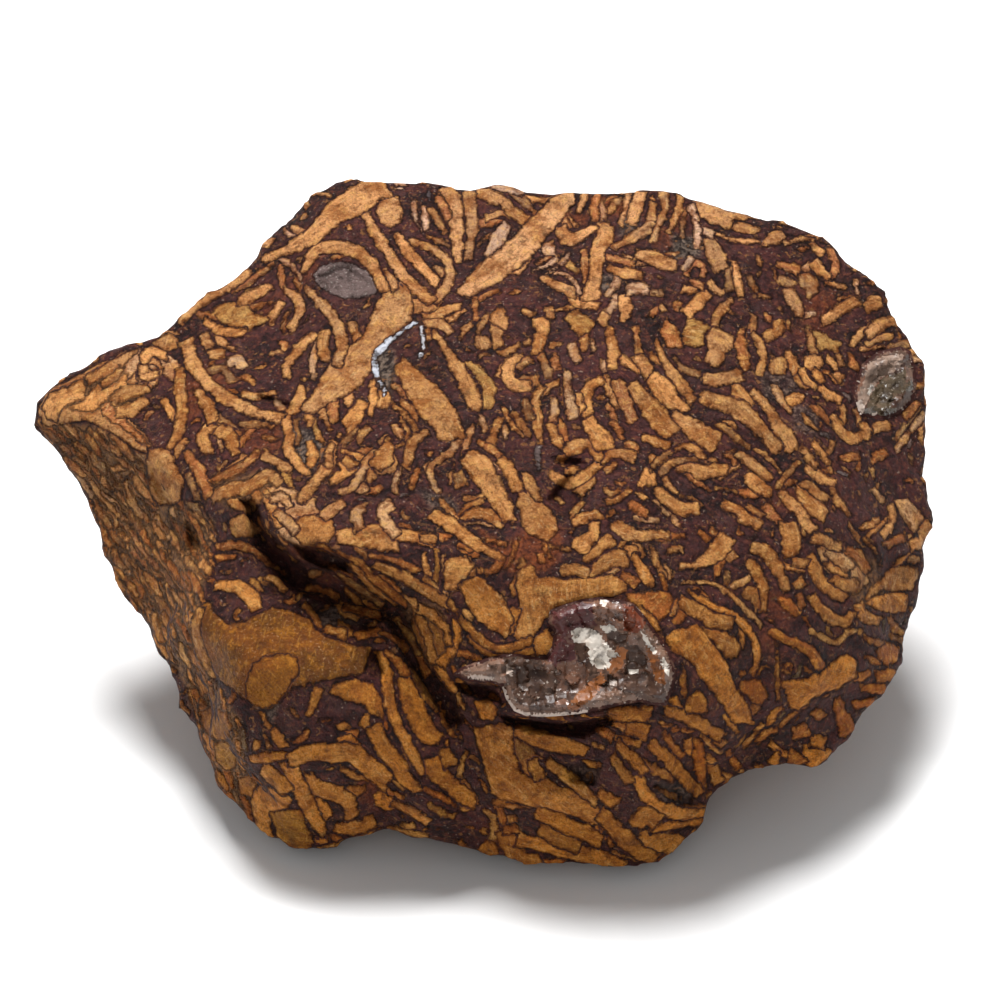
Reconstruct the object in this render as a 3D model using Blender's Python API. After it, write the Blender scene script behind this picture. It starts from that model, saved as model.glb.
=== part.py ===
"""Habur stone: a broken lump of brown-red rock full of ochre shell pieces, with two glassy quartz crusts.

The side that shows is laid out the way it is looked at: x runs to the right, v up the picture and w
towards the viewer, in millimetres from the middle of the picture. The far side and the underside are
given as they stand, x, y and z from the same middle. Two sheets of facets, a front and a back, run
through these landmarks and meet at the outline. The closed block is given an even skin, roughened like
broken rock, hollowed where the quartz grew, and ground flat where it stands.
"""

import math
import random

import bmesh
import bpy
from mathutils import Vector, noise
from mathutils.bvhtree import BVHTree
from mathutils.geometry import delaunay_2d_cdt

MM = 0.001
LOOK_DOWN = math.radians(38.0)
EYE_DISTANCE = 300.0
FOOT_HEIGHT = -17.2
SKIN_VOXEL = 0.85
STONE_TRIANGLES = 6400
EDGE_ROUND = 1.5
OUTLINE_SWELL = 0.65
POCKET_DEPTH = 1.4
POCKET_SLOPE = 1.3
CRYSTAL_PITCH = 1.5
CRUST_GAP = 0.4

# The outline as it is seen, clockwise from the left tip: (x, v).
OUTLINE = (
    (-31.1, 5.9), (-30.9, 6.8), (-30.1, 7.4), (-28.8, 8.1), (-27.4, 8.8), (-26.2, 9.4), (-24.4, 10.2),
    (-23.1, 10.8), (-21.7, 11.7), (-21.3, 12.6), (-20.4, 13.3), (-19.0, 14.1), (-17.5, 14.9),
    (-16.8, 15.6), (-15.5, 17.1), (-13.4, 18.7), (-11.9, 20.1), (-11.3, 20.9), (-10.4, 21.2),
    (-9.0, 21.4), (-7.8, 21.4), (-7.0, 21.1), (-5.0, 21.5), (-3.5, 20.9), (-2.3, 20.8), (0.1, 21.0),
    (2.0, 20.5), (3.7, 20.5), (4.7, 20.3), (5.6, 20.7), (7.5, 20.6), (9.4, 20.8), (10.7, 20.8),
    (12.0, 20.3), (13.3, 19.9), (15.5, 19.3), (16.9, 19.0), (18.6, 18.5), (19.9, 17.9), (21.5, 17.3),
    (22.3, 16.7), (23.0, 15.7), (24.2, 14.7), (25.3, 14.0), (25.7, 13.2), (26.5, 11.9), (27.5, 11.0),
    (28.1, 9.7), (28.5, 8.0), (28.5, 6.0), (28.8, 4.8), (28.8, 3.7), (28.3, 2.5), (28.1, 1.0),
    (28.5, -0.3), (28.8, -1.5), (28.6, -2.5), (28.1, -3.6), (27.9, -5.1), (27.4, -6.7), (27.2, -8.8),
    (26.9, -10.3), (26.5, -11.9), (25.6, -13.2), (24.5, -13.8), (23.8, -14.5), (23.5, -15.6),
    (22.5, -16.2), (22.0, -17.2), (20.8, -18.1), (19.6, -17.9), (18.7, -17.7), (17.7, -18.0),
    (16.8, -18.6), (15.6, -19.1), (14.7, -19.2), (14.1, -19.5), (14.0, -20.3), (14.1, -21.3),
    (13.7, -21.9), (12.7, -22.5), (12.3, -23.1), (11.7, -23.9), (10.7, -24.5), (9.5, -24.7),
    (7.9, -24.9), (6.5, -24.4), (4.5, -24.0), (2.9, -24.1), (1.7, -24.4), (0.9, -24.1), (-1.0, -23.9),
    (-2.5, -23.3), (-5.5, -22.5), (-8.0, -22.1), (-8.8, -22.3), (-9.9, -22.8), (-11.0, -23.3),
    (-11.7, -23.8), (-12.6, -23.7), (-14.5, -23.3), (-15.6, -22.8), (-16.2, -21.8), (-17.1, -21.2),
    (-18.6, -19.1), (-19.3, -17.0), (-20.3, -14.9), (-20.9, -13.6), (-21.7, -12.0), (-22.6, -9.9),
    (-23.3, -8.4), (-24.1, -7.4), (-24.7, -6.5), (-25.6, -5.6), (-26.1, -4.4), (-26.5, -2.9),
    (-26.8, -1.5), (-27.3, -0.4), (-27.5, 0.3), (-28.1, 1.4), (-29.0, 2.7), (-30.2, 4.1), (-30.9, 5.1),
)

# How far towards the viewer the outline stands, at places along it: (x, v, w).
OUTLINE_DEPTHS = (
    (-31.0, 5.5, -3.0), (-27.0, 8.8, -4.0), (-20.0, 13.3, -6.0), (-11.5, 20.5, -8.5), (0.0, 21.0, -8.5),
    (10.0, 20.8, -8.5), (20.0, 18.0, -8.0), (26.0, 12.5, -6.0), (28.5, 7.0, -4.5), (28.7, -1.0, -3.0),
    (27.5, -7.0, -1.0), (24.0, -14.0, 2.0), (19.0, -18.0, 3.5), (14.0, -20.0, 3.5), (12.0, -23.0, 4.5),
    (5.0, -24.2, 5.0), (-3.0, -23.2, 4.5), (-12.0, -23.7, 3.5), (-17.0, -21.0, 2.0), (-20.5, -14.0, 1.0),
    (-24.0, -7.5, -1.0), (-27.0, -1.0, -2.5),
)

# Landmarks of the side that is seen: (x, v, w).
UPPER_FACE = (
    (-11.0, 19.0, -6.0), (0.0, 19.0, -5.6), (10.0, 19.0, -6.0), (18.0, 16.5, -5.6),
    (-14.0, 14.0, -3.5), (-6.0, 14.0, -1.6), (4.0, 14.0, -0.9), (13.0, 14.0, -1.8), (20.0, 12.0, -3.2),
    (-20.0, 9.5, -1.5), (-12.0, 8.0, 2.6), (-3.0, 8.0, 4.4), (6.0, 8.0, 4.5), (15.0, 8.0, 2.8),
    (22.0, 7.0, -0.2), (-25.0, 7.0, -0.9), (-17.0, 4.0, 5.4), (-8.0, 3.0, 8.3), (1.0, 3.0, 9.2),
    (10.0, 3.0, 8.4), (18.0, 2.5, 5.8), (24.5, 2.0, 1.2),
)
LEFT_RIDGE = ((-29.0, 6.0, -1.2), (-26.3, 4.8, 0.8), (-22.7, 2.7, 4.2), (-19.7, 0.4, 7.4))
OVERHANGING_LIP = (
    (-17.0, 0.0, 9.2), (-15.6, -2.0, 11.0), (-13.4, -2.9, 12.4), (-10.0, -3.6, 13.0),
    (-6.6, -4.2, 13.3), (-4.2, -6.4, 13.2), (0.0, -4.0, 13.6), (-1.6, -8.6, 13.2),
)
VALLEY = (
    (-18.4, -1.4, 7.4), (-17.0, -3.0, 7.8), (-14.9, -4.4, 7.6), (-13.2, -6.2, 8.0), (-10.0, -6.8, 8.8),
    (-6.9, -8.6, 9.4), (-5.1, -11.4, 9.6), (-3.8, -14.6, 9.2), (-1.9, -18.0, 8.6),
)
LOWER_BLOCK = (
    (-19.6, -5.2, 8.0), (-16.8, -6.4, 9.6), (-13.2, -8.2, 10.6), (-9.2, -9.4, 11.2), (-20.4, -8.2, 8.6),
    (-17.6, -10.6, 11.4), (-12.6, -11.6, 12.4), (-8.0, -12.6, 11.6), (-6.2, -16.0, 10.8),
    (-18.6, -14.4, 9.0), (-15.2, -17.6, 10.0), (-10.4, -17.0, 11.0), (-4.2, -20.0, 9.4),
    (-14.6, -21.0, 7.2), (-9.6, -20.4, 7.8),
)
QUARTZ_LEDGE = (
    (-2.6, -11.2, 12.6), (0.2, -12.0, 13.6), (1.0, -14.2, 13.6), (6.0, -14.4, 14.2), (11.5, -13.8, 13.6),
    (4.5, -8.5, 14.4), (9.0, -8.0, 14.2), (12.3, -9.5, 13.4),
)
UNDER_LEDGE = ((0.4, -15.8, 11.2), (3.2, -16.2, 11.0), (6.0, -16.2, 11.4), (9.6, -16.0, 12.2))
LOWER_RIGHT = (
    (0.4, -19.2, 10.2), (6.0, -19.6, 10.6), (11.4, -19.0, 10.0), (2.4, -22.3, 7.8), (8.6, -22.6, 7.8),
    (12.6, -20.6, 7.2),
)
RIGHT_FLANK = (
    (5.0, -3.0, 13.2), (13.0, -3.0, 11.6), (21.0, -3.0, 7.4), (26.0, -3.0, 2.4), (16.0, -8.0, 12.0),
    (21.0, -8.0, 8.4), (25.0, -8.0, 3.6), (15.5, -13.0, 11.8), (20.5, -12.6, 8.4), (23.6, -12.0, 5.0),
    (15.4, -17.0, 8.8), (19.0, -15.6, 7.4),
)
SEEN_SIDE = (
    UPPER_FACE + LEFT_RIDGE + OVERHANGING_LIP + VALLEY + LOWER_BLOCK + QUARTZ_LEDGE + UNDER_LEDGE
    + LOWER_RIGHT + RIGHT_FLANK
)

# Landmarks of the far side and the underside, as the stone stands: (x, y, z).
FAR_SIDE = (
    (-10.0, 21.0, 6.0), (0.0, 22.5, 6.5), (10.0, 22.0, 5.5), (18.0, 18.5, 3.5),
    (-17.0, 15.5, -2.5), (-8.0, 20.0, -5.0), (3.0, 22.5, -4.5), (13.5, 19.0, -6.5), (24.0, 9.5, -5.5),
    (-25.0, 7.5, -3.0), (-21.0, 4.0, -9.5), (-16.5, 11.5, -10.5),
)
UNDERSIDE = (
    (-8.0, 15.5, -13.5), (2.0, 17.5, -12.5), (12.5, 14.0, -12.5), (21.0, 6.0, -10.5), (19.0, -1.5, -13.0),
    (-15.5, 4.0, -14.5), (-17.5, -4.0, -14.0), (18.0, -8.5, -12.5),
    (-10.0, -12.5, -16.4), (0.0, -13.0, -17.0), (9.0, -13.0, -16.8),
)
FOOT = (
    (-9.0, -6.0, -18.3), (8.0, -8.0, -18.3), (10.0, 4.0, -18.3), (-1.0, 9.0, -18.3), (-10.0, 5.0, -18.3),
    (0.0, 0.0, -18.3),
)

# The edges of the two quartz pockets, as they are seen: (x, v).
FRONT_POCKET = (
    (-3.6, -11.5), (-2.5, -10.7), (0.0, -10.2), (2.7, -10.4), (3.8, -9.8), (3.8, -7.6), (5.0, -7.0),
    (6.7, -6.6), (8.4, -6.7), (9.4, -7.5), (11.3, -10.1), (11.7, -11.4), (11.5, -12.7), (11.1, -13.5),
    (9.4, -13.5), (7.4, -13.8), (6.0, -14.2), (2.0, -14.3), (0.5, -13.7), (0.2, -12.7), (-2.0, -11.9),
)
RIGHT_POCKET = (
    (24.2, 9.2), (25.4, 10.0), (26.8, 10.4), (27.7, 9.3), (27.8, 7.8), (27.4, 6.2), (25.9, 5.4),
    (24.1, 5.6), (23.7, 7.2),
)

ROCK_BROWN = (0.055, 0.022, 0.020, 1.0)
QUARTZ_GREY = (0.42, 0.36, 0.32, 1.0)
EYE = Vector((0.0, -math.cos(LOOK_DOWN), math.sin(LOOK_DOWN))) * EYE_DISTANCE * MM


def clear_scene():
    for old in list(bpy.data.objects):
        bpy.data.objects.remove(old)


def material(name, colour, roughness):
    made = bpy.data.materials.new(name)
    made.use_nodes = True
    shader = made.node_tree.nodes["Principled BSDF"]
    shader.inputs["Base Color"].default_value = colour
    shader.inputs["Roughness"].default_value = roughness
    return made


def placed(x, v, w):
    """Where a point stands that is seen at (x, v) and is w towards the viewer."""
    nearer = 1.0 - w / EYE_DISTANCE
    x, v = x * nearer, v * nearer
    y = v * math.sin(LOOK_DOWN) - w * math.cos(LOOK_DOWN)
    z = v * math.cos(LOOK_DOWN) + w * math.sin(LOOK_DOWN)
    return Vector((x, y, z)) * MM


def seen(point):
    """The (x, v, w) at which a standing point is seen: the reverse of placed."""
    x, y, z = point / MM
    v = y * math.sin(LOOK_DOWN) + z * math.cos(LOOK_DOWN)
    w = z * math.sin(LOOK_DOWN) - y * math.cos(LOOK_DOWN)
    nearer = 1.0 - w / EYE_DISTANCE
    return x / nearer, v / nearer, w


def offset(outline, distance):
    """The outline moved outwards by a distance, or inwards where it is below zero."""
    moved = []
    for i, (x, v) in enumerate(outline):
        before, after = outline[i - 1], outline[(i + 1) % len(outline)]
        along = Vector((after[0] - before[0], after[1] - before[1])).normalized()
        moved.append((x - along.y * distance, v + along.x * distance))
    return moved


def outline_depth(x, v):
    """The outline's w beside (x, v), a blend of the nearest OUTLINE_DEPTHS."""
    pulls = [(1.0 / (0.01 + (x - a) ** 2 + (v - b) ** 2) ** 2, w) for a, b, w in OUTLINE_DEPTHS]
    return sum(pull * w for pull, w in pulls) / sum(pull for pull, w in pulls)


def facets(outline, inside):
    """Triangles over the outline and the points inside it, as indices into outline + inside."""
    flat = [Vector(p[:2]) for p in list(outline) + list(inside)]
    ring = [(i, (i + 1) % len(outline)) for i in range(len(outline))]
    found = delaunay_2d_cdt(flat, ring, [], 1, 1e-5)
    return [[found[3][i][0] for i in face] for face in found[2]]


def rounded_edge(side):
    """Points just inside the outline, on the near side of it or on the far side."""
    inner = offset(OUTLINE, -EDGE_ROUND)[::2]
    return [(x, v, outline_depth(x, v) + side * EDGE_ROUND) for x, v in inner]


def block():
    """The closed block of facets: the front sheet and the back sheet sewn along the outline."""
    mesh = bmesh.new()
    outline = offset(OUTLINE, OUTLINE_SWELL)
    rim = [mesh.verts.new(placed(x, v, outline_depth(x, v))) for x, v in outline]
    near = list(SEEN_SIDE) + rounded_edge(1)
    far = [seen(Vector(p) * MM) for p in FAR_SIDE + UNDERSIDE + FOOT] + rounded_edge(-1)
    sheets = []
    for inside in (near, far):
        verts = rim + [mesh.verts.new(placed(*p)) for p in inside]
        sheets.append([frozenset(verts[i] for i in face) for face in facets(outline, inside)])
    shared = set(sheets[0]) & set(sheets[1])
    for corners in sheets[0] + sheets[1]:
        if corners not in shared:
            mesh.faces.new(tuple(corners))
    loose = [vert for vert in mesh.verts if not vert.link_faces]
    bmesh.ops.delete(mesh, geom=loose, context="VERTS")
    bmesh.ops.recalc_face_normals(mesh, faces=mesh.faces)
    return mesh


def object_of(mesh, name, finish=None):
    data = bpy.data.meshes.new(name)
    mesh.to_mesh(data)
    mesh.free()
    made = bpy.data.objects.new(name, data)
    bpy.context.scene.collection.objects.link(made)
    if finish:
        data.materials.append(finish)
    return made


def finished_mesh(thing):
    """The object's mesh as its modifiers leave it."""
    mesh = bmesh.new()
    mesh.from_object(thing, bpy.context.evaluated_depsgraph_get())
    return mesh


def with_even_skin(thing):
    """The block remeshed to even faces, its facets' edges eased as on worn breaks."""
    remesh = thing.modifiers.new("even_skin", "REMESH")
    remesh.mode = "VOXEL"
    remesh.voxel_size = SKIN_VOXEL * MM
    ease = thing.modifiers.new("ease", "SMOOTH")
    ease.factor = 0.5
    ease.iterations = 2
    return finished_mesh(thing)


def roughen(mesh):
    """Broken rock: broad swells, hackly steps a few millimetres across, and a fine tooth."""
    mesh.normal_update()
    moves = []
    for vert in mesh.verts:
        p = vert.co / MM
        swell = noise.fractal(p * 0.11, 1.0, 2.0, 2) * 0.55
        cell = noise.voronoi(p * 0.30)[0]
        step = (cell[1] - cell[0]) * 0.5 - 0.2
        tooth = noise.noise(p * 0.65) * 0.18
        moves.append(vert.normal * (swell + step + tooth) * MM)
    for vert, move in zip(mesh.verts, moves):
        vert.co += move


def depth_inside(outline, x, v):
    """How far (x, v) lies inside a closed outline, in millimetres, or 0 outside it."""
    point = Vector((x, v))
    inside = False
    nearest = float("inf")
    for (ax, av), (bx, bv) in zip(outline, outline[1:] + outline[:1]):
        if (av > v) != (bv > v) and x < ax + (bx - ax) * (v - av) / (bv - av):
            inside = not inside
        side = Vector((bx - ax, bv - av))
        along = max(0.0, min(1.0, (point - Vector((ax, av))).dot(side) / side.length_squared))
        nearest = min(nearest, (point - Vector((ax, av)) - side * along).length)
    return nearest if inside else 0.0


def hollow(mesh, pocket):
    """Sinks the floor of a quartz pocket into the seen side, with sloping walls."""
    mesh.normal_update()
    floor = []
    for vert in mesh.verts:
        if vert.normal.dot(EYE - vert.co) > 0.0:
            x, v, w = seen(vert.co)
            depth = depth_inside(pocket, x, v)
            if depth > 0.0:
                floor.append((vert, min(1.0, depth / POCKET_SLOPE)))
    inward = -sum((vert.normal for vert, share in floor), Vector()).normalized()
    for vert, share in floor:
        vert.co += inward * POCKET_DEPTH * MM * share * share * (3.0 - 2.0 * share)


def cut_foot(mesh):
    """Cuts the stone flat at the height it stands on and closes the cut."""
    geometry = list(mesh.verts) + list(mesh.edges) + list(mesh.faces)
    foot = Vector((0.0, 0.0, FOOT_HEIGHT * MM))
    cut = bmesh.ops.bisect_plane(
        mesh, geom=geometry, plane_co=foot, plane_no=Vector((0, 0, -1)), clear_outer=True
    )
    edges = [item for item in cut["geom_cut"] if isinstance(item, bmesh.types.BMEdge)]
    bmesh.ops.holes_fill(mesh, edges=edges)


def thinned(thing):
    """The object's mesh with fewer, larger facets."""
    thin = thing.modifiers.new("thin", "DECIMATE")
    thin.ratio = STONE_TRIANGLES / len(thing.data.polygons)
    return finished_mesh(thing)


def stone():
    rough = object_of(block(), "block")
    skin = with_even_skin(rough)
    roughen(skin)
    hollow(skin, FRONT_POCKET)
    hollow(skin, RIGHT_POCKET)
    bmesh.ops.triangulate(skin, faces=skin.faces)
    dense = object_of(skin, "dense")
    mesh = thinned(dense)
    for helper in (rough, dense):
        bpy.data.objects.remove(helper)
    cut_foot(mesh)
    bmesh.ops.triangulate(mesh, faces=mesh.faces)
    return object_of(mesh, "stone", material("stone", ROCK_BROWN, 0.62))


def crystal_places(pocket, seed):
    """Crystal tips and the low points between them inside a pocket: (x, v, how high it stands)."""
    draw = random.Random(seed)
    places = []
    low_x, high_x = min(p[0] for p in pocket), max(p[0] for p in pocket)
    low_v, high_v = min(p[1] for p in pocket), max(p[1] for p in pocket)
    half = CRYSTAL_PITCH / 2
    for row in range(int((high_v - low_v) / half) + 1):
        for column in range(int((high_x - low_x) / half) + 1):
            x = low_x + column * half + draw.uniform(-0.25, 0.25) * half
            v = low_v + row * half + draw.uniform(-0.25, 0.25) * half
            is_tip = (row % 2 == 0) and (column + row // 2) % 2 == 0
            height = draw.uniform(1.5, 2.1) if is_tip else draw.uniform(0.9, 1.1)
            depth = depth_inside(pocket, x, v)
            if depth > 0.35:
                places.append((x, v, min(height, 0.35 + depth)))
    return places


def crust(name, pocket, seed, ground):
    """A crust of quartz crystals with flat faces, lying in its pocket just clear of the floor."""
    ring = [(x, v, 0.3) for x, v in offset(pocket, -0.45)]
    inside = [p for p in crystal_places([p[:2] for p in ring], seed)]
    hits = []
    for x, v, height in ring + inside:
        hit = ground.ray_cast(EYE, (placed(x, v, 0.0) - EYE).normalized())
        hits.append((hit[0], hit[1]))
    out = sum((normal for place, normal in hits), Vector()).normalized()
    mesh = bmesh.new()
    heights = [p[2] for p in ring + inside]
    under = [mesh.verts.new(place + out * CRUST_GAP * MM) for place, normal in hits]
    over = [mesh.verts.new(low.co + out * height * MM) for low, height in zip(under, heights)]
    for a, b, c in facets(ring, inside):
        mesh.faces.new((over[a], over[b], over[c]))
        mesh.faces.new((under[c], under[b], under[a]))
    for i in range(len(ring)):
        j = (i + 1) % len(ring)
        mesh.faces.new((under[i], under[j], over[j], over[i]))
    bmesh.ops.recalc_face_normals(mesh, faces=mesh.faces)
    return object_of(mesh, name, material(name, QUARTZ_GREY, 0.12))


def stand_at_origin(things):
    """Hangs every piece on one empty, and moves that so that the stone stands centred on z = 0."""
    bpy.context.view_layer.update()
    graph = bpy.context.evaluated_depsgraph_get()
    points = []
    for thing in things:
        points += [vert.co.copy() for vert in thing.evaluated_get(graph).to_mesh().vertices]
    low = Vector([min(p[i] for p in points) for i in range(3)])
    high = Vector([max(p[i] for p in points) for i in range(3)])
    middle = bpy.data.objects.new("middle", None)
    bpy.context.scene.collection.objects.link(middle)
    middle.location = (-(low.x + high.x) / 2, -(low.y + high.y) / 2, -low.z)
    for thing in things:
        thing.parent = middle


clear_scene()
rock = stone()
bpy.context.view_layer.update()
ground = BVHTree.FromBMesh(finished_mesh(rock))
druse = crust("quartz_druse", FRONT_POCKET, 3, ground)
edge_quartz = crust("quartz_pocket", RIGHT_POCKET, 5, ground)
stand_at_origin([rock, druse, edge_quartz])
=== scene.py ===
import math
import random

import bmesh
import bpy
import numpy as np
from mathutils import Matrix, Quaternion, Vector, noise
from mathutils.bvhtree import BVHTree
from mathutils.geometry import delaunay_2d_cdt
from mathutils.kdtree import KDTree


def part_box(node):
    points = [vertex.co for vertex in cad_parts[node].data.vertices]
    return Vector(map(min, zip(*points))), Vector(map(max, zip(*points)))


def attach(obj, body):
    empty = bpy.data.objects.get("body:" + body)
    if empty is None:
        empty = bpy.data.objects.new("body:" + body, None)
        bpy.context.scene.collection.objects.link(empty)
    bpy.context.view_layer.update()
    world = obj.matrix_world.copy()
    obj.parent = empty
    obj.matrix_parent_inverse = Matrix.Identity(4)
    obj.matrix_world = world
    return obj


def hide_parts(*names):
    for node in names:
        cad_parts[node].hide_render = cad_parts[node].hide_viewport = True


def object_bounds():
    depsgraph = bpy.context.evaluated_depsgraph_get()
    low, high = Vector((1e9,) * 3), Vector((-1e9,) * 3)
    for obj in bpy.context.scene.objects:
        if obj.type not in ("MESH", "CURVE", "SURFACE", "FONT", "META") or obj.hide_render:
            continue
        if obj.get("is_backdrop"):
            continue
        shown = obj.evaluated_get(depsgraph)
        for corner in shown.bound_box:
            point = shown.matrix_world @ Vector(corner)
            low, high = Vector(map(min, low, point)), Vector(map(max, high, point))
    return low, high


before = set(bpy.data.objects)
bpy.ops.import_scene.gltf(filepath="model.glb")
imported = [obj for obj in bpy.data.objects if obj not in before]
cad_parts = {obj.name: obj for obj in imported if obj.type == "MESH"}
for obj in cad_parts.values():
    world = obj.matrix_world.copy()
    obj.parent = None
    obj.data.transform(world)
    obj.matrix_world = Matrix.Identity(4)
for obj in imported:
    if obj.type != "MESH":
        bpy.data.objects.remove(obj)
cad_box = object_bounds()

# The camera looks down on the stone from in front, as the photograph does. A place in the picture is
# given in pixels of the 1000 by 1000 frame, counted from its top left corner.
MM = 0.001
PICTURE_SIDE = 1000
PICTURE_WIDTH = 66.1 * MM
PICTURE_MIDDLE = Vector((1.30, -1.356, 17.15)) * MM
LOOK_DOWN = math.radians(38.0)
EYE_DISTANCE = 300.0 * MM
PIXEL = PICTURE_WIDTH / PICTURE_SIDE

towards_eye = Vector((0.0, -math.cos(LOOK_DOWN), math.sin(LOOK_DOWN)))
picture_up = Vector((0.0, math.sin(LOOK_DOWN), math.cos(LOOK_DOWN)))
eye = PICTURE_MIDDLE + towards_eye * EYE_DISTANCE

camera = bpy.data.objects.new("camera", bpy.data.cameras.new("camera"))
camera.data.sensor_width = 36.0
camera.data.lens = camera.data.sensor_width * EYE_DISTANCE / PICTURE_WIDTH
camera.data.clip_start = 10 * MM
camera.location = eye
camera.rotation_euler = (math.pi / 2 - LOOK_DOWN, 0.0, 0.0)
bpy.context.scene.collection.objects.link(camera)
bpy.context.scene.camera = camera
bpy.context.scene.view_settings.view_transform = "Standard"


def picture_places(points):
    """The pixels at which an array of points is seen."""
    away = points - np.array(PICTURE_MIDDLE)
    nearer = 1.0 - away @ np.array(towards_eye) / EYE_DISTANCE
    right = away[:, 0] / nearer / PIXEL
    up = away @ np.array(picture_up) / nearer / PIXEL
    return np.stack([PICTURE_SIDE / 2 + right, PICTURE_SIDE / 2 - up], axis=1)


# The floor is a plain pale sheet under soft light: a pale sky all round, and a broad panel overhead.
FLOOR_SIDE = 4.0
SKY_STRENGTH = 0.32
bpy.ops.object.select_all(action="DESELECT")
bpy.ops.mesh.primitive_plane_add(size=FLOOR_SIDE, location=(0, 0, 0))
floor = bpy.context.object
floor.name = "floor"
paper = bpy.data.materials.new("paper")
paper.use_nodes = True
paper.node_tree.nodes["Principled BSDF"].inputs["Base Color"].default_value = (0.88, 0.88, 0.88, 1)
paper.node_tree.nodes["Principled BSDF"].inputs["Roughness"].default_value = 0.9
floor.data.materials.append(paper)
floor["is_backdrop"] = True


def light_panel(name, place, size, power, aim=(0.0, 0.0, 0.012)):
    """A square panel of soft light that faces the stone."""
    panel = bpy.data.lights.new(name, "AREA")
    panel.shape = "SQUARE"
    panel.size = size
    panel.energy = power
    lamp = bpy.data.objects.new(name, panel)
    lamp.location = place
    lamp.rotation_euler = (Vector(place) - Vector(aim)).to_track_quat("Z", "Y").to_euler()
    bpy.context.scene.collection.objects.link(lamp)


light_panel("overhead", (-0.05, 0.14, 0.50), 0.20, 5.0)
light_panel("front", (-0.10, -0.55, 0.40), 0.40, 0.40)
sky = bpy.data.worlds.new("sky")
sky.use_nodes = True
sky.node_tree.nodes["Background"].inputs["Color"].default_value = (1.0, 1.0, 1.0, 1.0)
sky.node_tree.nodes["Background"].inputs["Strength"].default_value = SKY_STRENGTH
bpy.context.scene.world = sky


# The stone: one broken lump of maroon rock, packed with pieces of ochre shell and formed as one piece. Its
# body is the CAD solid with a finer, rougher skin. The fragments are colour laid over that skin, with a hair
# of relief.

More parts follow.
